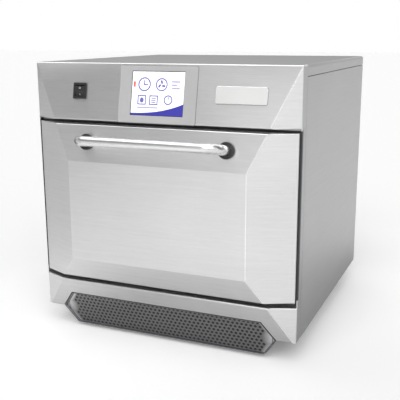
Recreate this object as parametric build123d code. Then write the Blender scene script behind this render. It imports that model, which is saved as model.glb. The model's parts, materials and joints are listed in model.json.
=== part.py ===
from build123d import *
import math
import os

# Countertop speed oven: a hot-air and microwave oven with a drop-down door and a folded, faceted front.
# All sizes are millimetres. While the pieces are modelled, x is centred on the body, y is measured back from
# the front outline of the body and z up from its bottom edge. PLACE moves the finished pieces to the floor.

# Casing
BODY_W = 584.0
BODY_D = 580.0
FOOT_H = 49.0
SHEET = 1.5
SEAT = 0.3
RUNNING = 0.05
OVERRUN = 6.0
FULL_TURN = 360.0
BEND_R = 3.0
LID_EDGE_R = 6.0
LID_FLANGE = 22.0
SEAM = 0.8
LID_LAP = 10.0
PANEL_FLANGE = 12.0

# Faceted front: five facets rise to a flat centre that stands proud of the outline
FRONT_REACH = 40.0
WING_W = 94.3
CENTRE_RISE = 46.2
CENTRE_DROP = 75.8
FORM_DROP = 8.8
RETURN_D = 28.0

# Heights of the three front pieces and the gaps between them, which add up to the body's height
LOWER_H = 75.0
GAP_BELOW = 9.5
DOOR_H = 335.5
GAP_ABOVE = 8.0
FASCIA_H = 117.0
DOOR_SIDE_GAP = 4.3
DOOR_BACK = 2.0
PLATE_Y = 8.0
PLATE_ABOVE_DUCT = 5.5
PLATE_OVERLAP = 10.0
LOWER_TAB = 16.0
UPPER_TAB = 4.0

# Cooking cavity: the bays round it, and how far the door reaches past its mouth
SIDE_BAY = 104.5
REAR_BAY = 268.0
DOOR_LAP_LOW = 65.5
DOOR_LAP_HIGH = 52.0
INSULATION = 25.0

# Door seal and choke, from the edge of the cavity mouth outwards
SEAL_OFFSET = 4.0
SEAL_W = 10.0
CHOKE_GAP = 1.0
CHOKE_W = 24.0
CHOKE_T = 3.0
PRESSING_MARGIN = 8.0
PRESSING_T = 5.0

# Door hinge, stays and latches
HINGE_Y = -18.0
HINGE_RISE = 6.5
HINGE_INSET = 82.0
PIN_R = 4.0
LUG_T = 6.0
LUG_R = 7.5
LUG_FLANGE_W = 20.0
LUG_FLANGE_T = 3.0
LUG_FLANGE_RISE = 21.0
EAR_T = 4.0
EAR_GAP = 0.5
EAR_TOP = 21.0
EAR_FRONT = 6.0
EAR_BOTTOM = 4.5
STAY_INSET = 36.0
STAY_T = 6.0
STAY_R = 85.0
STAY_W = 10.0
STAY_TAIL_ANGLE = -20.0
STAY_HEAD_ANGLE = 84.0
STAY_PLAY = 2.0
STAY_FOOT_W = 20.0
STAY_FOOT_T = 3.0
STAY_FOOT_H = 34.0
GUIDE_W = 22.0
GUIDE_D = 12.0
GUIDE_WALL = 6.0
LATCH_INSET = 42.0
LATCH_DROP = 25.0
LATCH_T = 6.0
LATCH_H = 10.0
LATCH_REACH = 26.0
LATCH_PLAY = 5.0
INTERLOCK_D = 36.0
INTERLOCK_WALL = 4.0

# Handle
HANDLE_R = 10.0
HANDLE_INSET = 137.5
HANDLE_DROP = 35.2
HANDLE_STANDOFF = 50.0
HANDLE_BEND_R = 28.0
COLLAR_R = 16.5
COLLAR_T = 6.0
SCREW_R = 3.0
SCREW_HEAD_R = 5.5
SCREW_HEAD_T = 4.0
SCREW_GRIP = 16.0

# Screen, switch and badge plate on the control fascia
BEZEL_W = 170.0
BEZEL_RISE = 0.6
BEZEL_DROP = 5.0
BEZEL_T = 1.2
BEZEL_CORNER = 3.0
SCREEN_W = 116.7
SCREEN_MARGIN_LOW = 14.4
SCREEN_MARGIN_HIGH = 10.0
GLASS_T = 1.5
GLASS_LAP = 2.0
DISPLAY_T = 14.0
CONTROL_RISE = 59.5
SWITCH_PLACE_SHARE = 0.4517
SWITCH_W = 31.0
SWITCH_H = 33.0
SWITCH_RIM_T = 2.5
SWITCH_RIM = 4.0
SWITCH_WALL = 1.5
SWITCH_D = 19.0
ROCKER_R = 11.6
ROCKER_DEPTH = 4.0
ROCKER_RISE = 6.5
ROCKER_TIP = 16.0
ROCKER_PIN_R = 1.5
BADGE_PLACE_SHARE = 0.4406
BADGE_W = 104.4
BADGE_H = 33.0
BADGE_T = 3.0
BADGE_CORNER = 4.0

# Air filter and its duct: a hexagon, widest at the bottom edge of the body
HEX_TOP_DROP = 34.5
HEX_FLOOR_GAP = 7.5
HEX_INSET = 39.5
HEX_TOP_STEP = 30.5
HEX_LOW_STEP = 29.0
FILTER_GAP = 2.0
FILTER_RIM = 1.5
FILTER_DEPTH = 9.0
FILTER_SHEET_T = 1.2
FILTER_RECESS = 7.0
HOLE_PITCH = 14.8
HOLE_SHARE = 0.56
HOLE_MARGIN = 5.0
DUCT_D = 100.0
DUCT_FLAT = 25.0

# Feet and rear fittings
FOOT_R = 19.0
FOOT_NECK_R = 14.0
FOOT_PAD_T = 9.0
FOOT_COLLAR_T = 6.0
FOOT_INSET = 57.0
FOOT_FRONT_Y = 127.0
FOOT_REAR_INSET = 60.0
STUD_R = 4.0
STUD_GRIP = 12.0
NUT_R = 8.0
NUT_SIDES = 6
NUT_T = 6.0
GLAND_INSET = 87.0
GLAND_Z = 70.0
GLAND_R = 16.0
GLAND_NECK_R = 12.0
GLAND_BORE_R = 7.0
GLAND_REACH = 22.0
GLAND_FLANGE_T = 5.0
GLAND_TAPER = 4.0
CASING_SCREW_R = 4.0
SCREW_SIDES = 6
SCREW_HEIGHT_SHARES = (0.1, 0.5, 0.9)
CASING_SCREW_T = 2.0
CASING_SCREW_INSET = 14.0
LOUVRE_W = 110.0
LOUVRE_H = 5.0
LOUVRE_PITCH = 14.0
LOUVRE_COUNT = 9
LOUVRE_INSET = 162.0
LOUVRE_LOW = 40.0

# Hot-air system behind the cavity
FANBOX_INSET = 37.5
FANBOX_D = 90.0
INTAKE_LIP = 12.0
OUTLET_INSET = 30.0
OUTLET_H = 12.0
OUTLET_DROP = 4.0
JET_DROP = 20.0
JET_R = 7.0
JET_PITCH = 52.0
JET_MARGIN = 40.0
GREASE_LAP = 15.0
GREASE_T = 4.0
GREASE_HOLE = 16.0
GREASE_PITCH = 24.0
GREASE_MARGIN = 10.0
RACK_RISE = 36.0
RACK_W = 14.0
RACK_T = 2.0
RACK_MARGIN = 12.0
COOK_PLATE_T = 5.0
COOK_PLATE_RIM = 10.0
COOK_PLATE_LIP_W = 12.0
COOK_PLATE_GAP = 4.0
IMPELLER_GAP = 16.0
IMPELLER_HUB_R = 14.0
IMPELLER_D = 36.0
IMPELLER_DISC_T = 2.0
IMPELLER_STANDOFF = 14.0
BLADE_COUNT = 12
BLADE_T = 1.5
BLADE_INNER_SHARE = 0.55
SHAFT_R = 4.0
SHAFT_GRIP = 30.0
SHAFT_GAP = 4.0
MOTOR_R = 42.0
MOTOR_D = 78.0
MOTOR_FLANGE_R = 52.0
MOTOR_FLANGE_T = 4.0
HEATER_MARGIN = 31.0
HEATER_TUBE_R = 4.0
HEATER_SIDES = 8
HEATER_LEAD_X = 16.0
HEATER_STANDOFF = 34.0
VENT_INSET = 45.0
VENT_DROP = 38.0
VENT_W = 46.0
VENT_H = 34.0
VENT_FLANGE = 8.0

# Microwave and electrical pieces
GUIDE_DUCT_W = 44.0
GUIDE_DUCT_D = 80.0
GUIDE_DUCT_SETBACK = 118.0
GUIDE_DUCT_FOOT = 32.0
GUIDE_DUCT_HEAD = 50.0
PORT_D = 64.0
PORT_H = 50.0
PORT_DROP = 9.0
MAGNETRON_W = 78.0
MAGNETRON_D = 76.0
MAGNETRON_H = 82.0
MAGNETRON_CORE_R = 20.0
MAGNETRON_PLATE_T = 3.0
FIN_COUNT = 6
FIN_T = 1.0
ANTENNA_R = 8.0
ANTENNA_H = 22.0
ANTENNA_GAP = 2.0
TRANSFORMER_X = 110.0
TRANSFORMER_Y = 375.0
TRANSFORMER_W = 100.0
TRANSFORMER_D = 74.0
TRANSFORMER_H = 84.0
COIL_W = 60.0
COIL_D = 104.0
COIL_H = 46.0
COIL_CORNER = 12.0
FOOTPLATE_T = 4.0
FOOTPLATE_LAP = 12.0
BOARD_W = 180.0
BOARD_D = 110.0
BOARD_Y = 250.0
BOARD_T = 1.6
BOARD_STANDOFF = 10.0
STANDOFF_R = 4.0
BOARD_MARGIN = 8.0
HEATSINK_H = 34.0
HEATSINK_D = 30.0
CAPACITOR_R = 11.0
CAPACITOR_H = 30.0
CAPACITOR_COUNT = 3
AXIAL_HEADROOM = 10.5
AXIAL_D = 38.0
AXIAL_X = 75.0
AXIAL_Y = 120.0
AXIAL_WALL = 4.0
AXIAL_TIP_GAP = 2.0
AXIAL_HUB_R = 20.0
AXIAL_BLADES = 5
AXIAL_BLADE_T = 2.0
AXIAL_BLADE_W = 24.0
AXIAL_BLADE_TILT = 38.0
AXIAL_STATOR_T = 12.0
AXIAL_STRUT = 6.0
AXIAL_SHAFT_R = 3.0

HALF_W = BODY_W / 2
HALF_DOOR = HALF_W - DOOR_SIDE_GAP
CENTRE_W = BODY_W - WING_W * 2
DOOR_LOW = LOWER_H + GAP_BELOW
DOOR_HIGH = DOOR_LOW + DOOR_H
FASCIA_LOW = DOOR_HIGH + GAP_ABOVE
BODY_H = FASCIA_LOW + FASCIA_H
CENTRE_LOW = DOOR_LOW + CENTRE_RISE
CENTRE_HIGH = DOOR_HIGH - CENTRE_DROP
PANEL_Y = RETURN_D + SEAM
LID_LOW = BODY_H - LID_FLANGE
PLATE_BACK = PLATE_Y + SHEET
HALF_CAVITY = HALF_W - SIDE_BAY
CAVITY_FLOOR = DOOR_LOW + DOOR_LAP_LOW
CAVITY_TOP = DOOR_HIGH - DOOR_LAP_HIGH
CAVITY_H = CAVITY_TOP - CAVITY_FLOOR
CAVITY_D = BODY_D - REAR_BAY
CAVITY_BACK = PLATE_BACK + CAVITY_D + SHEET
CAVITY_MID = CAVITY_FLOOR + CAVITY_H / 2
FANBOX_BACK = CAVITY_BACK + FANBOX_D
FLOOR_Z = SHEET + SHEET
AXIAL_SIZE = CAVITY_FLOOR - SHEET - INSULATION - FLOOR_Z - AXIAL_HEADROOM
AXIAL_BORE_R = AXIAL_SIZE / 2 - AXIAL_WALL
WAVEGUIDE_X = HALF_CAVITY + SHEET + INSULATION + SEAT
TOP_SLOPE = math.atan2(FRONT_REACH, BODY_H - CENTRE_HIGH)
BOTTOM_SLOPE = math.atan2(FRONT_REACH, CENTRE_LOW + FORM_DROP)
STAY_INNER = STAY_R - STAY_W / 2
STAY_OUTER = STAY_R + STAY_W / 2
HINGE_X = HALF_W - HINGE_INSET
HINGE_Z = DOOR_LOW + HINGE_RISE
STAY_X = HALF_W - STAY_INSET
LATCH_X = HALF_W - LATCH_INSET
LATCH_Z = DOOR_HIGH - LATCH_DROP
HANDLE_SPAN = BODY_W - HANDLE_INSET * 2
HANDLE_Z = DOOR_HIGH - HANDLE_DROP
BEZEL_LOW = FASCIA_LOW + BEZEL_RISE
BEZEL_HIGH = BODY_H - BEZEL_DROP
SCREEN_LOW = BEZEL_LOW + SCREEN_MARGIN_LOW
SCREEN_HIGH = BEZEL_HIGH - SCREEN_MARGIN_HIGH
CONTROL_Z = FASCIA_LOW + CONTROL_RISE
BESIDE_BEZEL = HALF_W - BEZEL_W / 2
SWITCH_X = -BEZEL_W / 2 - BESIDE_BEZEL * SWITCH_PLACE_SHARE
BADGE_X = BEZEL_W / 2 + BESIDE_BEZEL * BADGE_PLACE_SHARE
HEX_TOP_Z = LOWER_H - HEX_TOP_DROP
HEX_LOW_Z = HEX_FLOOR_GAP - FOOT_H
HEX_MID_W = BODY_W - HEX_INSET * 2
HEX_TOP_W = HEX_MID_W - HEX_TOP_STEP * 2
HEX_LOW_W = HEX_MID_W - HEX_LOW_STEP * 2
PLATE_LOW = HEX_TOP_Z + PLATE_ABOVE_DUCT
FOOT_X = HALF_W - FOOT_INSET
FOOT_REAR_Y = BODY_D - FOOT_REAR_INSET
GLAND_X = GLAND_INSET - HALF_W
LOUVRE_X = HALF_W - LOUVRE_INSET
FANBOX_W = (HALF_CAVITY - FANBOX_INSET) * 2
OUTLET_W = FANBOX_W - OUTLET_INSET * 2
HEATER_R = CAVITY_H / 2 - HEATER_MARGIN
IMPELLER_R = HEATER_R - IMPELLER_GAP
INTAKE_R = IMPELLER_R - INTAKE_LIP
GREASE_SIZE = (INTAKE_R + GREASE_LAP) * 2
RACK_Z = CAVITY_FLOOR + RACK_RISE
VENT_X = FANBOX_W / 2 - VENT_INSET
VENT_Z = CAVITY_TOP - VENT_DROP
PORT_Z = CAVITY_MID - PORT_DROP
GUIDE_DUCT_Y = CAVITY_BACK - GUIDE_DUCT_SETBACK
GUIDE_DUCT_LOW = CAVITY_FLOOR - GUIDE_DUCT_FOOT
GUIDE_DUCT_HIGH = PORT_Z + GUIDE_DUCT_HEAD


def block(x, y, z):
    """Box between a low and a high limit on each axis."""
    size = [limits[1] - limits[0] for limits in (x, y, z)]
    middle = [(limits[0] + limits[1]) / 2 for limits in (x, y, z)]
    return Pos(*middle) * Box(*size)


def rod(radius, start, end):
    """Round bar from one point to another."""
    path = Vector(*end) - Vector(*start)
    return extrude(Plane(origin=start, z_dir=path) * Circle(radius), path.length)


def both_sides(piece):
    """The piece and its mirror image in the other half of the oven."""
    return [piece, mirror(piece, Plane.YZ)]


def union(pieces):
    """One shape made of all the pieces."""
    whole = pieces[0]
    for piece in pieces[1:]:
        whole = whole + piece
    return whole


def facet_y(z):
    """How far back the front surface lies at height z, on the top, centre or bottom facet."""
    if z > CENTRE_HIGH:
        return -(BODY_H - z) * math.tan(TOP_SLOPE)
    if z < CENTRE_LOW:
        return -(z + FORM_DROP) * math.tan(BOTTOM_SLOPE)
    return -FRONT_REACH


def side_facet_y(x):
    """How far back the side facet lies at distance x from the middle."""
    return -FRONT_REACH * (HALF_W - abs(x)) / (HALF_W - CENTRE_W / 2)


TOP_FACET = Plane(
    origin=(0, facet_y(CENTRE_HIGH), CENTRE_HIGH),
    x_dir=(1, 0, 0),
    z_dir=(0, -math.cos(TOP_SLOPE), math.sin(TOP_SLOPE)),
)
BOTTOM_FACET = Plane(
    origin=(0, facet_y(0), 0),
    x_dir=(1, 0, 0),
    z_dir=(0, -math.cos(BOTTOM_SLOPE), -math.sin(BOTTOM_SLOPE)),
)


def up_top_facet(z):
    """Distance up the top facet's own plane to height z."""
    return (z - CENTRE_HIGH) / math.cos(TOP_SLOPE)


def facet_block(x, z, depth):
    """Box that lies in the top facet, between limits of x, of height z and of depth out of its plane."""
    return TOP_FACET.location * block(x, [up_top_facet(height) for height in z], depth)


def inset_outline(plane, points, inset):
    """Closed outline in a plane, moved inwards by inset."""
    outline = plane * make_face(Polyline(*points, close=True))
    return offset(outline, -inset, kind=Kind.INTERSECTION) if inset else outline


def faceted(half_w, low, high, back, inset=0):
    """Solid behind the faceted front between two heights. An inset solid runs on past the back.

    It is what two bars have in common: one with the front's side view, and one with its plan view.
    """
    reach = back + inset + OVERRUN if inset else back
    heights = [low] + [z for z in (CENTRE_LOW, CENTRE_HIGH) if low < z < high] + [high]
    side = [(facet_y(z), z) for z in heights] + [(reach, high), (reach, low)]
    ahead = FRONT_REACH + OVERRUN
    tip = HALF_W - ahead * (HALF_W - CENTRE_W / 2) / FRONT_REACH
    wing = (half_w, side_facet_y(half_w))
    plan = [(-wing[0], wing[1]), (-tip, -ahead), (tip, -ahead), wing]
    plan += [(half_w, reach + OVERRUN), (-half_w, reach + OVERRUN)]
    side_view = inset_outline(Plane.YZ, side, inset)
    plan_view = inset_outline(Plane.XY, plan, inset)
    if BEND_R > inset:
        folds = [corner for corner in side_view.vertices() if corner.Y < back - SHEET]
        side_view = fillet(folds, BEND_R - inset)
        folds = [corner for corner in plan_view.vertices() if -FRONT_REACH < corner.Y < back - SHEET]
        plan_view = fillet(folds, BEND_R - inset)
    profile = extrude(side_view, half_w + OVERRUN, both=True)
    return profile & extrude(plan_view, BODY_H + OVERRUN, both=True)


def fascia(low, high):
    """Folded sheet front piece with its returns, open at the back."""
    outer = faceted(HALF_W, low, high, RETURN_D)
    return outer - faceted(HALF_W, low, high, RETURN_D, SHEET)


def corner_tabs(low, high):
    """Small upright tabs that close the ends of the door gap."""
    tab = block((HALF_W - SHEET, HALF_W), (0, PLATE_Y - SEAT), (low, high))
    return union(both_sides(tab))


def control_fascia():
    piece = fascia(FASCIA_LOW, BODY_H)
    inside = HALF_W - SHEET
    behind = (PLATE_Y - SEAT, RETURN_D + OVERRUN)
    piece -= block((-inside, inside), behind, (FASCIA_LOW - OVERRUN, FASCIA_LOW + SHEET + SEAT))
    piece += corner_tabs(FASCIA_LOW - UPPER_TAB, FASCIA_LOW + SHEET + BEND_R)
    window = SCREEN_W / 2 + GLASS_LAP + SEAT
    lap = GLASS_LAP + SEAT
    piece -= facet_block((-window, window), (SCREEN_LOW - lap, SCREEN_HIGH + lap), (-OVERRUN, OVERRUN))
    return piece - switch_body(SEAT)


def lower_fascia():
    piece = fascia(0, LOWER_H)
    inside = HALF_W - SHEET
    behind = (PLATE_Y - SEAT, RETURN_D + OVERRUN)
    piece -= block((-inside, inside), behind, (LOWER_H - SHEET - SEAT, LOWER_H + OVERRUN))
    piece += corner_tabs(LOWER_H - SHEET - BEND_R, LOWER_H + LOWER_TAB)
    return piece - hexagon_bar(0, -FRONT_REACH - OVERRUN, RETURN_D + OVERRUN)


def front_plate():
    """Recessed plate round the cavity mouth, with its side returns flush with the casing."""
    inside = HALF_W - SHEET - SEAT
    face = block((-inside, inside), (PLATE_Y, PLATE_BACK), (PLATE_LOW, FASCIA_LOW + PLATE_OVERLAP))
    sheet = block((HALF_W - SHEET, HALF_W), (PLATE_Y, RETURN_D), (LOWER_H + SEAT, FASCIA_LOW - SEAT))
    link = block((inside - SHEET, HALF_W), (PLATE_Y, PLATE_BACK), (LOWER_H + SEAT, FASCIA_LOW - SEAT))
    piece = union([face] + both_sides(sheet) + both_sides(link))
    mouth = (CAVITY_FLOOR, CAVITY_TOP)
    piece -= block((-HALF_CAVITY, HALF_CAVITY), (PLATE_Y - OVERRUN, PLATE_BACK + OVERRUN), mouth)
    for slot in both_sides(stay_slot(PLATE_Y, PLATE_BACK)) + both_sides(latch_slot(PLATE_BACK)):
        piece -= slot
    return piece


def stay_height(radius, y):
    """Height of the stay's arc at distance y from the front outline."""
    return HINGE_Z + math.sqrt(radius**2 - (y - HINGE_Y) ** 2)


def stay_slot(front, back):
    """Room for the curved stay to pass, between two distances from the front."""
    half = STAY_T / 2 + STAY_PLAY
    low = stay_height(STAY_INNER, back) - STAY_PLAY
    high = stay_height(STAY_OUTER, front) + STAY_PLAY
    return block((STAY_X - half, STAY_X + half), (front - OVERRUN, back + OVERRUN), (low, high))


def latch_slot(back):
    """Room for a latch hook, which rises a little as it swings out."""
    half = LATCH_T / 2 + STAY_PLAY
    low = LATCH_Z - LATCH_H / 2 - STAY_PLAY
    high = LATCH_Z + LATCH_H / 2 + LATCH_PLAY
    return block((LATCH_X - half, LATCH_X + half), (PLATE_Y - OVERRUN, back), (low, high))


def base_pan():
    half = HALF_W - SHEET - SEAT
    back = BODY_D - SHEET - SEAT
    floor = block((-half, half), (PANEL_Y, back), (SHEET, FLOOR_Z))
    half_duct = HEX_MID_W / 2 + SHEET
    floor -= block((-half_duct, half_duct), (PANEL_Y - OVERRUN, DUCT_D + SEAT), (0, FLOOR_Z + OVERRUN))
    for x in (-FOOT_X, FOOT_X):
        for y in (FOOT_FRONT_Y, FOOT_REAR_Y):
            floor -= rod(STUD_R + SEAT, (x, y, 0), (x, y, FLOOR_Z + OVERRUN))
    return floor


def side_panel():
    """Right side panel, with a flange under the base pan and a joggled strip inside the lid."""
    wall = block((HALF_W - SHEET, HALF_W), (PANEL_Y, BODY_D), (0, LID_LOW - SEAM))
    y = (PANEL_Y, BODY_D - SHEET - SEAT)
    flange = block((HALF_W - PANEL_FLANGE, HALF_W), y, (0, SHEET))
    top = LID_LOW - SEAM
    inside = HALF_W - SHEET - SEAT
    link = block((inside - SHEET, HALF_W), y, (top - SHEET, top))
    strip = block((inside - SHEET, inside), y, (top - SHEET, LID_LOW + LID_LAP))
    return wall + flange + link + strip


def lid_form(inset):
    """Solid under the lid's outer surface. Its long edges and its back edge are rounded."""
    half = HALF_W - inset
    back = BODY_D - inset
    low = LID_LOW - (OVERRUN if inset else 0)
    front = PANEL_Y - (OVERRUN if inset else 0)
    form = block((-half, half), (front, back), (low, BODY_H - inset))
    top = form.edges().filter_by_position(Axis.Z, BODY_H - inset - SEAT, BODY_H - inset + SEAT)
    folds = [edge for edge in top if edge.center().Y > front + SHEET]
    return fillet(folds, LID_EDGE_R - inset)


def top_cover():
    return lid_form(0) - lid_form(SHEET)


def rear_panel():
    half = HALF_W - SHEET - SEAT
    sheet = block((-half, half), (BODY_D - SHEET, BODY_D), (0, LID_LOW - SEAM))
    through = (BODY_D - SHEET - OVERRUN, BODY_D + OVERRUN)
    for side in (-1, 1):
        for row in range(LOUVRE_COUNT):
            x = side * LOUVRE_X
            low = LOUVRE_LOW + row * LOUVRE_PITCH
            limits = (x - LOUVRE_W / 2, x + LOUVRE_W / 2)
            if abs(x - GLAND_X) > LOUVRE_W / 2 + GLAND_R or abs(low - GLAND_Z) > GLAND_R + LOUVRE_PITCH:
                sheet -= block(limits, through, (low, low + LOUVRE_H))
    sheet -= rod(GLAND_NECK_R + SEAT, (GLAND_X, through[0], GLAND_Z), (GLAND_X, through[1], GLAND_Z))
    return sheet - vent_bar(VENT_W / 2, VENT_H / 2, through[0], through[1])


def casing_screws():
    """Screws of the rear panel, with hexagon heads."""
    places = []
    for share in SCREW_HEIGHT_SHARES:
        places += [(side * (HALF_W - SHEET - CASING_SCREW_INSET), share * LID_LOW) for side in (-1, 1)]
    places += [(side * CENTRE_W / 4, LID_LOW - SEAM - CASING_SCREW_INSET) for side in (-1, 1)]
    head = RegularPolygon(CASING_SCREW_R, SCREW_SIDES)
    heads = [Plane(origin=(x, BODY_D, z), z_dir=(0, 1, 0)) * head for x, z in places]
    return Compound(children=[extrude(head, CASING_SCREW_T).solid() for head in heads])


def hexagon(inset, scale_z=1.0):
    """Outline of the duct mouth, drawn flat, with heights stretched where it lies in a sloping plane."""
    top = HEX_TOP_W / 2
    middle = HEX_MID_W / 2
    low = HEX_LOW_W / 2
    points = [
        (-top, HEX_TOP_Z * scale_z),
        (top, HEX_TOP_Z * scale_z),
        (middle, 0),
        (low, HEX_LOW_Z * scale_z),
        (-low, HEX_LOW_Z * scale_z),
        (-middle, 0),
    ]
    face = make_face(Polyline(*points, close=True))
    return offset(face, -inset, kind=Kind.INTERSECTION) if inset else face


def hexagon_bar(inset, front, back):
    """Straight bar with the outline of the duct mouth."""
    start = Plane(origin=(0, front, 0), x_dir=(1, 0, 0), z_dir=(0, -1, 0))
    return extrude(start * hexagon(inset), front - back)


def duct_form(inset):
    """Solid of the duct: the hexagon, closed below by a floor that slopes up to the base pan."""
    clear = OVERRUN if inset > SEAT else 0
    bar = hexagon_bar(inset, -FRONT_REACH, DUCT_D + clear)
    rise = (DUCT_FLAT, HEX_LOW_Z + inset)
    end = (DUCT_D + clear, inset)
    limits = [(-FRONT_REACH, BODY_H), (-FRONT_REACH, rise[1]), rise, end, (DUCT_D + clear, BODY_H)]
    return bar & extrude(Plane.YZ * make_face(Polyline(*limits, close=True)), HALF_W, both=True)


def filter_housing():
    """Duct behind the air filter, cut off in front where the filter's rim seats."""
    piece = duct_form(SEAT) - duct_form(SEAT + SHEET)
    half = HALF_W + OVERRUN
    front = block((-half, half), (-BODY_H, BODY_H), (-FILTER_DEPTH - SEAT, BODY_H))
    return piece - BOTTOM_FACET.location * front


def air_filter_panel():
    """Perforated sheet set deep in a thin rim. The rim runs straight back, so the filter draws out forwards."""
    stretch = 1 / math.cos(BOTTOM_SLOPE)
    outer = hexagon_bar(FILTER_GAP, -FRONT_REACH, BODY_D)
    inner = hexagon_bar(FILTER_GAP + FILTER_RIM, -FRONT_REACH, BODY_D)
    slab = BOTTOM_FACET.location * block((-HALF_W, HALF_W), (-BODY_H, BODY_H), (-FILTER_DEPTH, 0))
    rim = (outer - inner) & slab
    area = hexagon(FILTER_GAP + FILTER_RIM + HOLE_MARGIN, stretch).face()
    hole = HOLE_PITCH * HOLE_SHARE / 2
    row_step = HOLE_PITCH * math.sqrt(3) / 2
    rows = int((HEX_TOP_Z - HEX_LOW_Z) * stretch / row_step)
    columns = int(HEX_MID_W / HOLE_PITCH)
    middle = (HEX_TOP_Z + HEX_LOW_Z) * stretch / 2
    wires = []
    for row in range(rows):
        y = middle + (row - (rows - 1) / 2) * row_step
        for column in range(columns):
            x = (column - (columns - 1) / 2 + (row % 2 - 1 / 2) / 2) * HOLE_PITCH
            corners = [(x + hole, y), (x, y + hole), (x - hole, y), (x, y - hole)]
            if all(area.is_inside((px, py, 0)) for px, py in corners):
                wires.append(Wire.make_polygon([(px, py, 0) for px, py in corners], close=True))
    back = hexagon(FILTER_GAP + FILTER_RIM - SEAT, stretch).face()
    sheet = extrude(Face(back.outer_wire(), wires), FILTER_SHEET_T, dir=(0, 0, 1))
    drop = FILTER_RECESS * math.tan(BOTTOM_SLOPE)
    return rim + BOTTOM_FACET.location * Pos(0, -drop, -FILTER_RECESS - FILTER_SHEET_T) * sheet


def feet():
    """Four levelling feet, each with a pad, a neck, a collar and a threaded stud with its nut."""
    outline = [
        (0, -FOOT_H),
        (FOOT_R, -FOOT_H),
        (FOOT_R, -FOOT_H + FOOT_PAD_T),
        (FOOT_NECK_R, -FOOT_H + FOOT_PAD_T + FOOT_R - FOOT_NECK_R),
        (FOOT_NECK_R, SHEET - FOOT_COLLAR_T),
        (FOOT_R, SHEET - FOOT_COLLAR_T),
        (FOOT_R, SHEET),
        (0, SHEET),
    ]
    foot = revolve(Plane.XZ * make_face(Polyline(*outline, close=True)), Axis.Z)
    foot += rod(STUD_R, (0, 0, SHEET), (0, 0, SHEET + STUD_GRIP))
    foot += extrude(Pos(0, 0, FLOOR_Z) * RegularPolygon(NUT_R, NUT_SIDES), NUT_T)
    places = [(x, y) for x in (-FOOT_X, FOOT_X) for y in (FOOT_FRONT_Y, FOOT_REAR_Y)]
    return Compound(children=[(Pos(x, y, 0) * foot).solid() for x, y in places])


def badge_plate():
    plate = Box(BADGE_W, BADGE_H / math.cos(TOP_SLOPE), BADGE_T)
    plate = fillet(plate.edges().filter_by(Axis.Z), BADGE_CORNER)
    plate = chamfer(plate.faces().sort_by(Axis.Z)[-1].edges(), BADGE_T / 4)
    return TOP_FACET.location * Pos(BADGE_X, up_top_facet(CONTROL_Z), BADGE_T / 2) * plate


def screen_bezel():
    half = BEZEL_W / 2
    plate = block((-half, half), (up_top_facet(BEZEL_LOW), up_top_facet(BEZEL_HIGH)), (0, BEZEL_T))
    plate = fillet(plate.edges().filter_by(Axis.Z), BEZEL_CORNER)
    half = SCREEN_W / 2
    limits = (up_top_facet(SCREEN_LOW), up_top_facet(SCREEN_HIGH))
    return TOP_FACET.location * (plate - block((-half, half), limits, (-OVERRUN, OVERRUN)))


def touch_glass():
    half = SCREEN_W / 2 + GLASS_LAP
    heights = (SCREEN_LOW - GLASS_LAP, SCREEN_HIGH + GLASS_LAP)
    return facet_block((-half, half), heights, (-GLASS_T - SEAT, -SEAT))


def display_module():
    """Display behind the glass, stepped in where its housing narrows."""
    half = SCREEN_W / 2 + GLASS_LAP + SHEET
    front = -GLASS_T - SEAT
    lap = GLASS_LAP + SHEET
    frame = facet_block((-half, half), (SCREEN_LOW - lap, SCREEN_HIGH + lap), (front - DISPLAY_T / 3, front))
    back = SCREEN_W / 2 - DISPLAY_T
    inner = (SCREEN_LOW + DISPLAY_T, SCREEN_HIGH - DISPLAY_T)
    return frame + facet_block((-back, back), inner, (front - DISPLAY_T, front))


SWITCH_PLACE = TOP_FACET.location * Pos(SWITCH_X, up_top_facet(CONTROL_Z), 0)


def switch_body(clearance):
    """Part of the switch that passes through the fascia, grown by a clearance."""
    half = SWITCH_W / 2 - SWITCH_RIM / 2 + clearance
    tall = SWITCH_H / 2 - SWITCH_RIM / 2 + clearance
    return SWITCH_PLACE * block((-half, half), (-tall, tall), (-SWITCH_D, OVERRUN if clearance else 0))


def switch_housing():
    half = SWITCH_W / 2
    tall = SWITCH_H / 2
    rim = block((-half, half), (-tall, tall), (0, SWITCH_RIM_T))
    rim = fillet(rim.edges().filter_by(Axis.Z), SWITCH_RIM / 2)
    window = half - SWITCH_RIM
    height = ROCKER_R + SEAT
    floor = -ROCKER_DEPTH - ROCKER_R - SEAT
    hollow = block((-window, window), (-height, height), (floor, SWITCH_RIM_T + OVERRUN))
    piece = SWITCH_PLACE * (rim - hollow) + (switch_body(0) - SWITCH_PLACE * hollow)
    end = window + SWITCH_WALL
    pin = rod(ROCKER_PIN_R + RUNNING, (-end, 0, -ROCKER_DEPTH), (end, 0, -ROCKER_DEPTH))
    return piece - SWITCH_PLACE * pin


def switch_rocker():
    """Rocker cut from a drum round its own pivot, pressed in at the bottom."""
    half = SWITCH_W / 2 - SWITCH_RIM - SEAT
    drum = rod(ROCKER_R, (-half, 0, 0), (half, 0, 0))
    tilt = ROCKER_TIP / 2
    for side in (-1, 1):
        wide = half + OVERRUN
        cut = block((-wide, wide), (-ROCKER_R * 2, ROCKER_R * 2), (ROCKER_RISE, ROCKER_R * 3))
        drum -= Rot(side * tilt, 0, 0) * cut
    ends = half + SWITCH_WALL
    pin = rod(ROCKER_PIN_R, (-ends, 0, 0), (ends, 0, 0))
    turned = Rot(tilt, 0, 0) * (drum + pin)
    return SWITCH_PLACE * Pos(0, 0, -ROCKER_DEPTH) * turned


def lug_notch(clearance):
    """Space that the fixed hinge lug needs in the door, open at the back and below."""
    half = LUG_T / 2 + clearance
    low = DOOR_LOW - OVERRUN
    high = HINGE_Z + LUG_R + clearance
    front = HINGE_Y - LUG_R - clearance
    return block((HINGE_X - half, HINGE_X + half), (front, DOOR_BACK + OVERRUN), (low, high))


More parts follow.
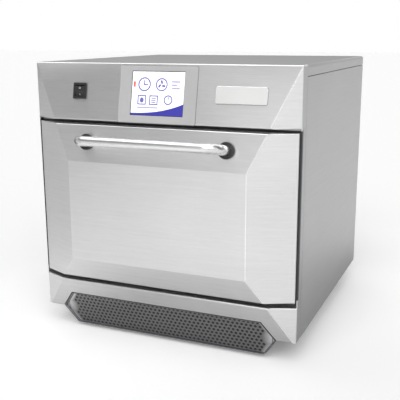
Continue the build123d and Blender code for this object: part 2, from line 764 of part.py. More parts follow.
def door_skin():
    outer = faceted(HALF_DOOR, DOOR_LOW, DOOR_HIGH, DOOR_BACK)
    piece = outer - faceted(HALF_DOOR, DOOR_LOW, DOOR_HIGH, DOOR_BACK, SHEET)
    for notch in both_sides(lug_notch(EAR_GAP)):
        piece -= notch
    for foot in handle_feet():
        depth = foot - TOP_FACET.z_dir * OVERRUN
        piece -= rod(SCREW_R + SEAT, tuple(foot + TOP_FACET.z_dir * OVERRUN), tuple(depth))
    return piece


def door_inner_panel():
    """Flat back of the door with a raised pressing that faces the cavity mouth."""
    half = HALF_DOOR - SHEET - SEAT
    low = DOOR_LOW + SHEET + SEAT
    high = DOOR_HIGH - SHEET - SEAT
    sheet = block((-half, half), (DOOR_BACK - SHEET, DOOR_BACK), (low, high))
    half = HALF_CAVITY - PRESSING_MARGIN
    limits = (CAVITY_FLOOR + PRESSING_MARGIN, CAVITY_TOP - PRESSING_MARGIN)
    pressing = block((-half, half), (DOOR_BACK, DOOR_BACK + PRESSING_T), limits)
    edges = pressing.faces().sort_by(Axis.Y)[-1].edges()
    piece = sheet + chamfer(edges, PRESSING_T / 2)
    for notch in both_sides(lug_notch(EAR_GAP)):
        piece -= notch
    return piece


def mouth_ring(offset_out, width, front, back):
    """Rectangular ring round the cavity mouth."""
    inner = (HALF_CAVITY + offset_out, CAVITY_H / 2 + offset_out)
    outer = (inner[0] + width, inner[1] + width)
    ring = block((-outer[0], outer[0]), (front, back), (CAVITY_MID - outer[1], CAVITY_MID + outer[1]))
    limits = (front - OVERRUN, back + OVERRUN)
    return ring - block((-inner[0], inner[0]), limits, (CAVITY_MID - inner[1], CAVITY_MID + inner[1]))


def door_seal():
    return mouth_ring(SEAL_OFFSET, SEAL_W, DOOR_BACK, PLATE_Y - SEAT)


def door_choke():
    return mouth_ring(SEAL_OFFSET + SEAL_W + CHOKE_GAP, CHOKE_W, DOOR_BACK, DOOR_BACK + CHOKE_T)


def door_core():
    """Insulating block that fills the door, with pockets at the hinges and the handle screws."""
    form = faceted(HALF_DOOR, DOOR_LOW, DOOR_HIGH, DOOR_BACK, SHEET + SEAT)
    half = HALF_W + OVERRUN
    form -= block((-half, half), (DOOR_BACK - SHEET - SEAT, BODY_D), (0, BODY_H))
    wide = LUG_T / 2 + EAR_GAP + EAR_T + SEAT
    top = HINGE_Z + EAR_TOP + SEAT
    pocket = block((HINGE_X - wide, HINGE_X + wide), (-FRONT_REACH - OVERRUN, BODY_D), (0, top))
    for hole in both_sides(pocket):
        form -= hole
    for foot in handle_feet():
        depth = foot - TOP_FACET.z_dir * (SHEET + SCREW_HEAD_T + SEAT)
        form -= rod(SCREW_HEAD_R + SEAT, tuple(foot), tuple(depth))
    return form


def handle_feet():
    """Points on the top facet where the handle's legs stand."""
    height = up_top_facet(HANDLE_Z)
    return [
        Vector(*(TOP_FACET.location * Pos(side * HANDLE_SPAN / 2, height, 0)).position) for side in (-1, 1)
    ]


def door_handle():
    """Tube with bent ends that stands square off the top facet."""
    left, right = handle_feet()
    rise = TOP_FACET.z_dir * HANDLE_STANDOFF
    path = FilletPolyline(left, left + rise, right + rise, right, radius=HANDLE_BEND_R)
    tube = sweep(Plane(origin=left, z_dir=TOP_FACET.z_dir) * Circle(HANDLE_R), path)
    for foot in (left, right):
        end = foot + TOP_FACET.z_dir * (SCREW_GRIP + SEAT)
        tube -= rod(SCREW_R + SEAT, tuple(foot - TOP_FACET.z_dir * OVERRUN), tuple(end))
    return tube


def handle_collars():
    pieces = []
    for foot in handle_feet():
        end = foot + TOP_FACET.z_dir * COLLAR_T
        collar = rod(COLLAR_R, tuple(foot), tuple(end))
        collar = chamfer(top_rim(collar), SHEET / 2)
        pieces.append((collar - rod(HANDLE_R + SEAT, tuple(foot), tuple(end))).solid())
    return Compound(children=pieces)


def top_rim(bar):
    """Edges of a round bar's outer end on the top facet."""
    ends = bar.faces().sort_by(Axis(origin=(0, 0, 0), direction=TOP_FACET.z_dir))
    return ends[-1].edges()


def handle_screws():
    pieces = []
    for foot in handle_feet():
        inside = foot - TOP_FACET.z_dir * SHEET
        shank = rod(SCREW_R, tuple(inside), tuple(foot + TOP_FACET.z_dir * SCREW_GRIP))
        head = rod(SCREW_HEAD_R, tuple(inside), tuple(inside - TOP_FACET.z_dir * SCREW_HEAD_T))
        pieces.append((shank + head).solid())
    return Compound(children=pieces)


def hinge_lug():
    """Right fixed lug: a rounded plate that reaches forward from its flange on the front plate."""
    half = LUG_T / 2
    x = (HINGE_X - half, HINGE_X + half)
    eye = rod(LUG_R, (x[0], HINGE_Y, HINGE_Z), (x[1], HINGE_Y, HINGE_Z))
    shank = block(x, (HINGE_Y, PLATE_Y - LUG_FLANGE_T), (HINGE_Z - LUG_R, HINGE_Z + LUG_R))
    wide = LUG_FLANGE_W / 2
    flange = block(
        (HINGE_X - wide, HINGE_X + wide),
        (PLATE_Y - LUG_FLANGE_T, PLATE_Y),
        (HINGE_Z - LUG_R, HINGE_Z + LUG_FLANGE_RISE),
    )
    bore = rod(PIN_R + RUNNING, (x[0] - OVERRUN, HINGE_Y, HINGE_Z), (x[1] + OVERRUN, HINGE_Y, HINGE_Z))
    return eye + shank + flange - bore


def hinge_pins():
    reach = LUG_T / 2 + EAR_GAP + EAR_T
    pins = []
    for side in (-1, 1):
        start = (side * HINGE_X - reach, HINGE_Y, HINGE_Z)
        end = (side * HINGE_X + reach, HINGE_Y, HINGE_Z)
        pins.append(rod(PIN_R, start, end).solid())
    return Compound(children=pins)


def door_hinge_bracket():
    """Right door bracket: two ears beside the lug, joined by a web above it."""
    inner = LUG_T / 2 + EAR_GAP
    outer = inner + EAR_T
    y = (HINGE_Y - EAR_FRONT, DOOR_BACK - SHEET - SEAT)
    z = (HINGE_Z - EAR_BOTTOM, HINGE_Z + EAR_TOP)
    piece = block((HINGE_X - outer, HINGE_X + outer), y, z)
    gap = (z[0] - OVERRUN, HINGE_Z + LUG_R + EAR_GAP)
    piece -= block((HINGE_X - inner, HINGE_X + inner), (y[0] - OVERRUN, y[1] + OVERRUN), gap)
    ends = (HINGE_X - outer - OVERRUN, HINGE_X + outer + OVERRUN)
    return piece - rod(PIN_R + RUNNING, (ends[0], HINGE_Y, HINGE_Z), (ends[1], HINGE_Y, HINGE_Z))


def door_stay():
    """Right stay: an arc round the hinge axis, on a foot fixed to the door's inner panel."""
    plane = Plane(origin=(STAY_X, HINGE_Y, HINGE_Z), x_dir=(0, 1, 0), z_dir=(1, 0, 0))
    sweep_angle = STAY_HEAD_ANGLE - STAY_TAIL_ANGLE
    arcs = [CenterArc((0, 0), radius, STAY_TAIL_ANGLE, sweep_angle) for radius in (STAY_INNER, STAY_OUTER)]
    ends = [Line(arcs[0] @ end, arcs[1] @ end) for end in (0, 1)]
    arm = extrude(plane * make_face(arcs + ends), STAY_T / 2, both=True)
    half = STAY_FOOT_W
    arm -= block((STAY_X - half, STAY_X + half), (DOOR_BACK - STAY_R, DOOR_BACK), (0, BODY_H))
    low = stay_height(STAY_INNER, DOOR_BACK + STAY_FOOT_T) - STAY_FOOT_H / 4
    x = (STAY_X - STAY_FOOT_W / 2, STAY_X + STAY_FOOT_W / 2)
    return arm + block(x, (DOOR_BACK, DOOR_BACK + STAY_FOOT_T), (low, low + STAY_FOOT_H))


def stay_guides():
    """Blocks behind the front plate that guide the stays."""
    back = PLATE_BACK + GUIDE_D
    low = stay_height(STAY_INNER, back) - GUIDE_WALL
    high = stay_height(STAY_OUTER, PLATE_BACK) + GUIDE_WALL
    piece = block((STAY_X - GUIDE_W / 2, STAY_X + GUIDE_W / 2), (PLATE_BACK, back), (low, high))
    piece -= stay_slot(PLATE_BACK, back)
    return Compound(children=[side.solid() for side in both_sides(piece)])


def door_latches():
    """Two hooks on the door's inner panel that enter slots in the front plate."""
    half = LATCH_T / 2
    tip = DOOR_BACK + LATCH_REACH
    hook = block(
        (LATCH_X - half, LATCH_X + half),
        (DOOR_BACK, tip),
        (LATCH_Z - LATCH_H / 2, LATCH_Z + LATCH_H / 2),
    )
    edge = hook.edges().filter_by(Axis.X).group_by(Axis.Y)[-1].sort_by(Axis.Z)[-1]
    hook = chamfer(edge, LATCH_H / 2)
    low = LATCH_Z - LATCH_H
    high = LATCH_Z + LATCH_H
    plate = block((LATCH_X - LATCH_H, LATCH_X + LATCH_H), (DOOR_BACK, DOOR_BACK + STAY_FOOT_T), (low, high))
    return Compound(children=[side.solid() for side in both_sides(hook + plate)])


def interlock_switches():
    """Switch blocks behind the front plate, each with a mouth for its latch hook."""
    back = PLATE_BACK + INTERLOCK_D
    half = LATCH_T / 2 + STAY_PLAY + INTERLOCK_WALL
    low = LATCH_Z - LATCH_H / 2 - STAY_PLAY - INTERLOCK_WALL
    high = LATCH_Z + LATCH_H / 2 + LATCH_PLAY + INTERLOCK_WALL
    piece = block((LATCH_X - half, LATCH_X + half), (PLATE_BACK, back), (low, high))
    piece -= latch_slot(back - INTERLOCK_WALL)
    return Compound(children=[side.solid() for side in both_sides(piece)])


def port_opening(low_x, high_x, inset):
    """Microwave port through the right cavity wall and the insulation."""
    y = GUIDE_DUCT_Y + GUIDE_DUCT_D / 2
    half = PORT_D / 2 - inset
    tall = PORT_H / 2 - inset
    return block((low_x, high_x), (y - half, y + half), (PORT_Z - tall, PORT_Z + tall))


def cavity_shell():
    """Welded cooking chamber with its air openings and microwave ports."""
    half = HALF_CAVITY + SHEET
    outer = block((-half, half), (PLATE_BACK, CAVITY_BACK), (CAVITY_FLOOR - SHEET, CAVITY_TOP + SHEET))
    inner_back = CAVITY_BACK - SHEET
    room = (CAVITY_FLOOR, CAVITY_TOP)
    piece = outer - block((-HALF_CAVITY, HALF_CAVITY), (PLATE_BACK - OVERRUN, inner_back), room)
    through = (inner_back - OVERRUN, CAVITY_BACK + OVERRUN)
    piece -= rod(INTAKE_R, (0, through[0], CAVITY_MID), (0, through[1], CAVITY_MID))
    high = CAVITY_TOP - OUTLET_DROP
    piece -= block((-OUTLET_W / 2, OUTLET_W / 2), through, (high - OUTLET_H, high))
    for port in both_sides(port_opening(HALF_CAVITY - OVERRUN, half + OVERRUN, SHEET)):
        piece -= port
    return piece


def fanbox_form(inset):
    """Solid of the hot-air box behind the cavity, open at the front when inset."""
    half = FANBOX_W / 2 - inset
    low = CAVITY_FLOOR - SHEET + inset
    high = CAVITY_TOP + SHEET - inset
    front = CAVITY_BACK - (OVERRUN if inset > 0 else 0)
    return block((-half, half), (front, FANBOX_BACK - max(inset, 0)), (low, high))


def cavity_insulation():
    """Mineral blanket round the cavity and the hot-air box."""
    lap = SHEET + INSULATION
    half = HALF_CAVITY + lap
    outer = block(
        (-half, half),
        (PLATE_BACK + SEAT, FANBOX_BACK),
        (CAVITY_FLOOR - lap, CAVITY_TOP + lap),
    )
    lap = SHEET + SEAT
    half = HALF_CAVITY + lap
    room = (CAVITY_FLOOR - lap, CAVITY_TOP + lap)
    piece = outer - block((-half, half), (0, CAVITY_BACK + SEAT), room)
    half = FANBOX_W / 2 + SEAT
    piece -= block((-half, half), (0, FANBOX_BACK + OVERRUN), room)
    for port in both_sides(port_opening(HALF_CAVITY, HALF_W, -SEAT)):
        piece -= port
    return piece


def impinger_plate():
    """Jet plate under the cavity roof, with side flanges up to the roof."""
    half = HALF_CAVITY - SEAT
    y = (PLATE_BACK + SEAT, CAVITY_BACK - SHEET - SEAT)
    low = CAVITY_TOP - JET_DROP
    plate = block((-half, half), y, (low, CAVITY_TOP - SEAT))
    plate -= block((-half + SHEET, half - SHEET), (y[0] + SHEET, y[1] + OVERRUN), (low + SHEET, BODY_H))
    middle = (y[0] + y[1]) / 2
    columns, rows = [int((size - JET_MARGIN * 2) / JET_PITCH) + 1 for size in (HALF_CAVITY * 2, CAVITY_D)]
    holes = Sketch() + GridLocations(JET_PITCH, JET_PITCH, columns, rows) * RegularPolygon(JET_R, 8)
    return plate - extrude(Plane(origin=(0, middle, low - OVERRUN)) * holes, OVERRUN * 2 + SHEET)


def grease_filter():
    """Perforated filter over the hot-air intake in the back wall."""
    half = GREASE_SIZE / 2
    back = CAVITY_BACK - SHEET
    outer = make_face(Polyline((-half, -half), (half, -half), (half, half), (-half, half), close=True))
    count = int((GREASE_SIZE - GREASE_HOLE - GREASE_MARGIN * 2) / GREASE_PITCH) + 1
    cells = GridLocations(GREASE_PITCH, GREASE_PITCH, count, count)
    holes = Sketch() + cells * Rectangle(GREASE_HOLE, GREASE_HOLE)
    sheet = extrude(outer - holes, GREASE_T)
    return Plane(origin=(0, back, CAVITY_MID), x_dir=(1, 0, 0), z_dir=(0, -1, 0)).location * sheet


def rack_supports():
    """Ledges on the side walls that carry the cook plate."""
    x = (HALF_CAVITY - RACK_W, HALF_CAVITY)
    y = (PLATE_BACK + RACK_MARGIN, CAVITY_BACK - RACK_MARGIN)
    ledge = block(x, y, (RACK_Z - RACK_T, RACK_Z))
    foot = block((HALF_CAVITY - RACK_T, HALF_CAVITY), y, (RACK_Z - RACK_W, RACK_Z))
    return Compound(children=[side.solid() for side in both_sides(ledge + foot)])


def cook_plate():
    """Lift-out plate with a raised lip, which rests on the ledges."""
    half = HALF_CAVITY - COOK_PLATE_GAP
    y = (PLATE_BACK + RACK_MARGIN, CAVITY_BACK - RACK_MARGIN)
    low = RACK_Z + SEAT
    plate = block((-half, half), y, (low, low + COOK_PLATE_RIM))
    lip = COOK_PLATE_LIP_W
    room = (low + COOK_PLATE_T, low + COOK_PLATE_RIM + OVERRUN)
    return plate - block((-half + lip, half - lip), (y[0] + lip, y[1] - lip), room)


def fan_housing():
    """Hot-air box with its shaft, heater and vent openings."""
    piece = fanbox_form(0) - fanbox_form(SHEET)
    through = (FANBOX_BACK - SHEET - OVERRUN, FANBOX_BACK + OVERRUN)
    piece -= rod(SHAFT_R + SHEET, (0, through[0], CAVITY_MID), (0, through[1], CAVITY_MID))
    for x in (-HEATER_LEAD_X, HEATER_LEAD_X):
        z = CAVITY_MID + heater_lead_rise()
        piece -= rod(HEATER_TUBE_R + SEAT, (x, through[0], z), (x, through[1], z))
    return piece - vent_bar(VENT_W / 2 - SHEET, VENT_H / 2 - SHEET, through[0], through[1])


def heater_lead_rise():
    """Height of the heater's two leads above the fan shaft."""
    return math.sqrt(HEATER_R**2 - HEATER_LEAD_X**2)


def heater_element():
    """Ring heater round the impeller, whose ends turn back through the rear wall."""
    y = FANBOX_BACK - SHEET - HEATER_STANDOFF
    rise = heater_lead_rise()
    start = math.degrees(math.atan2(rise, HEATER_LEAD_X))
    plane = Plane(origin=(0, y, CAVITY_MID), x_dir=(1, 0, 0), z_dir=(0, -1, 0))
    arc = plane * CenterArc((0, 0), HEATER_R, FULL_TURN / 2 - start, FULL_TURN / 2 + start * 2)
    tube = RegularPolygon(HEATER_TUBE_R, HEATER_SIDES)
    section = Plane(origin=arc @ 0, z_dir=arc % 0) * tube
    ring = sweep(section, arc)
    back = FANBOX_BACK + HEATER_TUBE_R * 2
    front = y - HEATER_TUBE_R
    leads = [
        extrude(Plane(origin=(x, front, CAVITY_MID + rise), z_dir=(0, 1, 0)) * tube, back - front)
        for x in (-HEATER_LEAD_X, HEATER_LEAD_X)
    ]
    return union([ring] + leads)


def convection_motor():
    """Fan motor on the back of the hot-air box, with a bore for the shaft."""
    back = FANBOX_BACK + MOTOR_D
    flange = rod(MOTOR_FLANGE_R, (0, FANBOX_BACK, CAVITY_MID), (0, FANBOX_BACK + MOTOR_FLANGE_T, CAVITY_MID))
    can = rod(MOTOR_R, (0, FANBOX_BACK, CAVITY_MID), (0, back, CAVITY_MID))
    cap = rod(MOTOR_R / 2, (0, back, CAVITY_MID), (0, back + MOTOR_FLANGE_T, CAVITY_MID))
    depth = FANBOX_BACK + SHAFT_GRIP + SHAFT_GAP
    bore = rod(SHAFT_R + RUNNING, (0, FANBOX_BACK - OVERRUN, CAVITY_MID), (0, depth, CAVITY_MID))
    return flange + can + cap - bore


def convection_impeller():
    """Centrifugal wheel with straight blades on a back disc, on its shaft."""
    back = FANBOX_BACK - SHEET - IMPELLER_STANDOFF
    front = back - IMPELLER_D
    disc = rod(IMPELLER_R, (0, back - IMPELLER_DISC_T, CAVITY_MID), (0, back, CAVITY_MID))
    hub = rod(IMPELLER_HUB_R, (0, front, CAVITY_MID), (0, back, CAVITY_MID))
    shaft = rod(SHAFT_R, (0, front, CAVITY_MID), (0, FANBOX_BACK + SHAFT_GRIP, CAVITY_MID))
    blade = block((IMPELLER_R * BLADE_INNER_SHARE, IMPELLER_R - SEAT), (front, back), (-BLADE_T / 2, BLADE_T / 2))
    blades = [
        Pos(0, 0, CAVITY_MID) * Rot(0, number * FULL_TURN / BLADE_COUNT, 0) * blade for number in range(BLADE_COUNT)
    ]
    return union([disc, hub, shaft] + blades)


def vent_bar(half, tall, front, back):
    """Straight bar along the exhaust duct."""
    return block((VENT_X - half, VENT_X + half), (front, back), (VENT_Z - tall, VENT_Z + tall))


def exhaust_duct():
    """Square tube from the hot-air box to the rear panel, with a flange at the box."""
    tube = vent_bar(VENT_W / 2 - SEAT, VENT_H / 2 - SEAT, FANBOX_BACK, BODY_D + CASING_SCREW_T)
    half = VENT_W / 2 + VENT_FLANGE
    tall = VENT_H / 2 + VENT_FLANGE
    flange = vent_bar(half, tall, FANBOX_BACK, FANBOX_BACK + SHEET)
    limits = (FANBOX_BACK - OVERRUN, BODY_D + OVERRUN)
    inner = vent_bar(VENT_W / 2 - SEAT - SHEET, VENT_H / 2 - SEAT - SHEET, limits[0], limits[1])
    return tube + flange - inner


def cable_gland():
    """Gland in the rear panel, open for a cable."""
    inside = BODY_D - SHEET - GLAND_FLANGE_T
    outer = BODY_D + GLAND_REACH
    flange = rod(GLAND_R, (GLAND_X, BODY_D, GLAND_Z), (GLAND_X, BODY_D + GLAND_FLANGE_T, GLAND_Z))
    nut = rod(GLAND_R, (GLAND_X, inside, GLAND_Z), (GLAND_X, BODY_D - SHEET, GLAND_Z))
    neck = rod(GLAND_NECK_R, (GLAND_X, inside, GLAND_Z), (GLAND_X, outer, GLAND_Z))
    rim = neck.faces().sort_by(Axis.Y)[-1].edges()
    piece = flange + nut + chamfer(rim, GLAND_TAPER, GLAND_TAPER / 2)
    ends = [(GLAND_X, y, GLAND_Z) for y in (inside - OVERRUN, outer + OVERRUN)]
    return piece - rod(GLAND_BORE_R, *ends)


def waveguide():
    """Right waveguide: an upright duct with a spigot to the cavity port and a hole for the antenna."""
    x = (WAVEGUIDE_X, WAVEGUIDE_X + GUIDE_DUCT_W)
    y = (GUIDE_DUCT_Y, GUIDE_DUCT_Y + GUIDE_DUCT_D)
    z = (GUIDE_DUCT_LOW, GUIDE_DUCT_HIGH)
    outer = block(x, y, z) + port_opening(HALF_CAVITY + SHEET, WAVEGUIDE_X + SHEET, 0)
    limits = [(low + SHEET, high - SHEET) for low, high in (x, y, z)]
    inner = block(*limits) + port_opening(HALF_CAVITY - OVERRUN, WAVEGUIDE_X + SHEET * 2, SHEET)
    centre = magnetron_centre()
    low = GUIDE_DUCT_LOW - OVERRUN
    ends = [(centre[0], centre[1], z) for z in (low, low + OVERRUN * 2)]
    return outer - inner - rod(ANTENNA_R + ANTENNA_GAP, *ends)


def magnetron_centre():
    """Centre of the right magnetron, under its waveguide."""
    return (WAVEGUIDE_X + GUIDE_DUCT_W / 2, GUIDE_DUCT_Y + GUIDE_DUCT_D / 2)


def magnetron():
    """Right magnetron: end plates, cooling fins round the core, and the antenna."""
    x, y = magnetron_centre()
    low = GUIDE_DUCT_LOW - MAGNETRON_H
    half = MAGNETRON_W / 2
    deep = MAGNETRON_D / 2
    pieces = [rod(MAGNETRON_CORE_R, (x, y, low), (x, y, GUIDE_DUCT_LOW))]
    pieces.append(rod(ANTENNA_R, (x, y, GUIDE_DUCT_LOW), (x, y, GUIDE_DUCT_LOW + ANTENNA_H)))
    for base in (low, GUIDE_DUCT_LOW - MAGNETRON_PLATE_T):
        pieces.append(block((x - half, x + half), (y - deep, y + deep), (base, base + MAGNETRON_PLATE_T)))
    for side in (x - half, x + half - MAGNETRON_PLATE_T):
        pieces.append(block((side, side + MAGNETRON_PLATE_T), (y - deep, y + deep), (low, GUIDE_DUCT_LOW)))
    step = MAGNETRON_H / (FIN_COUNT + 1)
    for number in range(FIN_COUNT):
        base = low + step * (number + 1)
        inner = (y - deep + FIN_T, y + deep - FIN_T)
        pieces.append(block((x - half, x + half), inner, (base, base + FIN_T)))
    return union(pieces)


def transformer():
    """Right transformer: laminated core, round-cornered winding and foot plate."""
    x = (TRANSFORMER_X - TRANSFORMER_W / 2, TRANSFORMER_X + TRANSFORMER_W / 2)
    y = (TRANSFORMER_Y - TRANSFORMER_D / 2, TRANSFORMER_Y + TRANSFORMER_D / 2)
    core = block(x, y, (FLOOR_Z, FLOOR_Z + TRANSFORMER_H))
    middle = FLOOR_Z + TRANSFORMER_H / 2
    coil = Box(COIL_W, COIL_D, COIL_H)
    coil = fillet(coil.edges().filter_by(Axis.X), COIL_CORNER)
    coil = Pos(TRANSFORMER_X, TRANSFORMER_Y, middle) * coil
    lap = FOOTPLATE_LAP
    plate = block((x[0] - lap, x[1] + lap), y, (FLOOR_Z, FLOOR_Z + FOOTPLATE_T))
    return core + coil + plate


def power_board():
    """Circuit board on standoffs with its heatsink and capacitors."""
    low = FLOOR_Z + BOARD_STANDOFF
    top = low + BOARD_T
    half = BOARD_W / 2
    deep = BOARD_D / 2
    pieces = [block((-half, half), (BOARD_Y - deep, BOARD_Y + deep), (low, top))]
    for side_x in (-1, 1):
        for side_y in (-1, 1):
            x = side_x * (half - BOARD_MARGIN)
            y = BOARD_Y + side_y * (deep - BOARD_MARGIN)
            pieces.append(rod(STANDOFF_R, (x, y, FLOOR_Z), (x, y, low)))
    limits = (BOARD_Y - HEATSINK_D / 2, BOARD_Y + HEATSINK_D / 2)
    pieces.append(block((-half + BOARD_MARGIN, 0), limits, (top, top + HEATSINK_H)))
    for number in range(CAPACITOR_COUNT):
        x = CAPACITOR_R + STANDOFF_R + number * (CAPACITOR_R * 2 + STANDOFF_R)
        pieces.append(rod(CAPACITOR_R, (x, BOARD_Y, top), (x, BOARD_Y, top + CAPACITOR_H)))
    return union(pieces)


def axial_centre(side):
    """Centre of a cooling fan's hub, at the front of the fan."""
    return (side * AXIAL_X, AXIAL_Y, FLOOR_Z + AXIAL_SIZE / 2)


def cooling_fan_frame(side):
    """Square frame with a round duct and the fixed motor on four struts."""
    x, y, z = axial_centre(side)
    half = AXIAL_SIZE / 2
    back = y + AXIAL_D
    frame = block((x - half, x + half), (y, back), (z - half, z + half))
    frame = fillet(frame.edges().filter_by(Axis.Y), BADGE_CORNER)
    frame -= rod(AXIAL_BORE_R, (x, y - OVERRUN, z), (x, back + OVERRUN, z))
    front = back - AXIAL_STATOR_T
    frame += rod(AXIAL_HUB_R, (x, front, z), (x, back, z))
    strut = AXIAL_STRUT / 2
    reach = AXIAL_BORE_R + strut
    limits = (back - AXIAL_STRUT, back)
    frame += block((x - reach, x + reach), limits, (z - strut, z + strut))
    frame += block((x - strut, x + strut), limits, (z - reach, z + reach))
    return frame - rod(AXIAL_SHAFT_R + RUNNING, (x, front - OVERRUN, z), (x, back - AXIAL_STRUT / 2, z))


def cooling_fan(side):
    """Rotor: a hub with tilted blades and the shaft that runs in the fixed motor."""
    x, y, z = axial_centre(side)
    front = y + AXIAL_TIP_GAP
    back = y + AXIAL_D - AXIAL_STATOR_T - AXIAL_TIP_GAP
    middle = (front + back) / 2
    tip = AXIAL_BORE_R - AXIAL_TIP_GAP
    hub = rod(AXIAL_HUB_R, (x, front, z), (x, back, z))
    shaft = rod(AXIAL_SHAFT_R, (x, middle, z), (x, y + AXIAL_D - AXIAL_STRUT - AXIAL_TIP_GAP, z))
    blade = block(
        (AXIAL_HUB_R - AXIAL_TIP_GAP, AXIAL_BORE_R),
        (-AXIAL_BLADE_W / 2, AXIAL_BLADE_W / 2),
        (-AXIAL_BLADE_T / 2, AXIAL_BLADE_T / 2),
    )
    blade = Rot(AXIAL_BLADE_TILT, 0, 0) * blade
    blades = [
        Pos(x, middle, z) * Rot(0, number * FULL_TURN / AXIAL_BLADES, 0) * blade for number in range(AXIAL_BLADES)
    ]
    space = rod(tip, (x, front, z), (x, back, z))
    return hub + shaft + (union(blades) & space)


FRONT_TIP = HANDLE_R + HANDLE_STANDOFF * math.cos(TOP_SLOPE) - facet_y(HANDLE_Z)
PLACE = Pos(0, (FRONT_TIP - BODY_D - GLAND_REACH) / 2, FOOT_H)


def write(name, piece):
    """Save one piece at its place on the floor."""
    export_step(PLACE * piece, os.path.join("parts", name + ".step"))


def write_pair(name, piece):
    """Save a piece of the right half and its mirror image."""
    write(name + "_right", piece)
    write(name + "_left", mirror(piece, Plane.YZ))


def main():
    os.makedirs("parts", exist_ok=True)
    single = [
        base_pan,
        top_cover,
        rear_panel,
        casing_screws,
        control_fascia,
        lower_fascia,
        front_plate,
        filter_housing,
        air_filter_panel,
        feet,
        badge_plate,
        screen_bezel,
        touch_glass,
        display_module,
        switch_housing,
        switch_rocker,
        door_skin,
        door_inner_panel,
        door_core,
        door_seal,
        door_choke,
        door_handle,
        handle_collars,
        handle_screws,
        door_latches,
        interlock_switches,
        hinge_pins,
        stay_guides,
        cavity_shell,
        cavity_insulation,
        impinger_plate,
        grease_filter,
        rack_supports,
        cook_plate,
        fan_housing,
        heater_element,
        convection_motor,
        convection_impeller,
        exhaust_duct,
        cable_gland,
        power_board,
    ]
    for make in single:
        write(make.__name__, make())
    for make in (side_panel, hinge_lug, door_hinge_bracket, door_stay, waveguide, magnetron, transformer):
        write_pair(make.__name__, make())
    for name, side in (("left", -1), ("right", 1)):
        write("cooling_fan_frame_" + name, cooling_fan_frame(side))
        write("cooling_fan_" + name, cooling_fan(side))


main()
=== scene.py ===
import json
import math

import bmesh
import bpy
from mathutils import Euler, Matrix, Vector
from mathutils.bvhtree import BVHTree


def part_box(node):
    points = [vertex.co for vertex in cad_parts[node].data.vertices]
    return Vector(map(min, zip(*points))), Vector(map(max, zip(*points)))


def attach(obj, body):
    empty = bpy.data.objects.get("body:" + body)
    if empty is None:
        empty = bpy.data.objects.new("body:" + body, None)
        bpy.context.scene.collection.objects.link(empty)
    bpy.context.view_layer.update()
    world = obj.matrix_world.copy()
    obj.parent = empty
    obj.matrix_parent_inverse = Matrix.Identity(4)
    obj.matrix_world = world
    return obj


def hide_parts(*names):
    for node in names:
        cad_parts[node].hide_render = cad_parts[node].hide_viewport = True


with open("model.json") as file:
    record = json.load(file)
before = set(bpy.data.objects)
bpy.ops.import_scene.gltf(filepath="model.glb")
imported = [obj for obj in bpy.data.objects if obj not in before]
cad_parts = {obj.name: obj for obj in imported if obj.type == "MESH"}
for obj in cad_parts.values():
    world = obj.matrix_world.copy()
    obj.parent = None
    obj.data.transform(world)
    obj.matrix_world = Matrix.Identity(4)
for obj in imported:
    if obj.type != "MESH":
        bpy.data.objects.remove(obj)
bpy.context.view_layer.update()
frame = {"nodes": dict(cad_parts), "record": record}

# A countertop speed oven in brushed steel, with a faceted front, a drop-down door, a touch screen
# and an air filter.
# Sizes are metres in the frame's own axes: x to the right, y to the back, z up from the floor.
nodes = frame["nodes"]
MM = 0.001
# Mesh attribute that marks the filter's hole rims, where painted shade darkens the sheet.
PAINTED_SHADE = "painted_shade"

# Noise of the finishes: scale, detail and roughness.
FINE_LINES = (14, 4, 0.7)
STREAKS = (3.2, 3, 0.6)
BRUSHED_CLOUDS = (5, 3, 0.5)
GRAINS = (1, 3, 0.6)
MOULDED_CLOUDS = (9, 3, 0.5)
# How the brushed sheet's noises mix, how far each finish strays in tone and roughness, and its relief.
LINE_SHARE, STREAK_SHARE = 0.6, 0.4
BRUSHED_SHARE, CLOUD_SHARE = 0.7, 0.3
STEEL_TINT = (0.77, 1.23)
STEEL_ROUGH_PLAY = 0.06
BRUSH_DEPTH = 0.00002
BRUSH_TURN = 0.25
METAL_TINT = (0.85, 1.15)
METAL_ROUGH_PLAY = 0.08
METAL_GRAIN = 900
METAL_DEPTH = 0.00003
MOULDED_TINT = (0.88, 1.12)
MOULDED_SMOOTHER, MOULDED_ROUGHER = 0.05, 0.07
SCREEN_TINT = (0.97, 1.03)
SCREEN_GRAIN = 2600
SCREEN_ROUGHNESS = 0.3


def new_material(name, colour, roughness, metallic=0.0):
    """Material with one Principled shader. Returns the material, its node tree and the shader."""
    material = bpy.data.materials.new(name)
    material.use_nodes = True
    tree = material.node_tree
    shader = tree.nodes["Principled BSDF"]
    shader.inputs["Base Color"].default_value = (*colour, 1)
    shader.inputs["Roughness"].default_value = roughness
    shader.inputs["Metallic"].default_value = metallic
    return material, tree, shader


def new_group(name, inputs, outputs):
    """Empty shader group with named number or vector inputs and number outputs."""
    group = bpy.data.node_groups.new(name, "ShaderNodeTree")
    for label, kind, value in inputs:
        socket = group.interface.new_socket(name=label, in_out="INPUT", socket_type=kind)
        socket.default_value = value
    for label in outputs:
        group.interface.new_socket(name=label, in_out="OUTPUT", socket_type="NodeSocketFloat")
    return group, group.nodes.new("NodeGroupInput"), group.nodes.new("NodeGroupOutput")


def noise(tree, vector, scale, detail, roughness):
    node = tree.nodes.new("ShaderNodeTexNoise")
    node.inputs["Scale"].default_value = scale
    node.inputs["Detail"].default_value = detail
    node.inputs["Roughness"].default_value = roughness
    tree.links.new(vector, node.inputs["Vector"])
    return node.outputs["Fac"]


def spread(tree, value, low, high, start=0.0, end=1.0):
    """The value moved from the range start to end onto the range low to high."""
    node = tree.nodes.new("ShaderNodeMapRange")
    node.inputs["From Min"].default_value = start
    node.inputs["From Max"].default_value = end
    node.inputs["To Min"].default_value = low
    node.inputs["To Max"].default_value = high
    tree.links.new(value, node.inputs["Value"])
    return node.outputs["Result"]


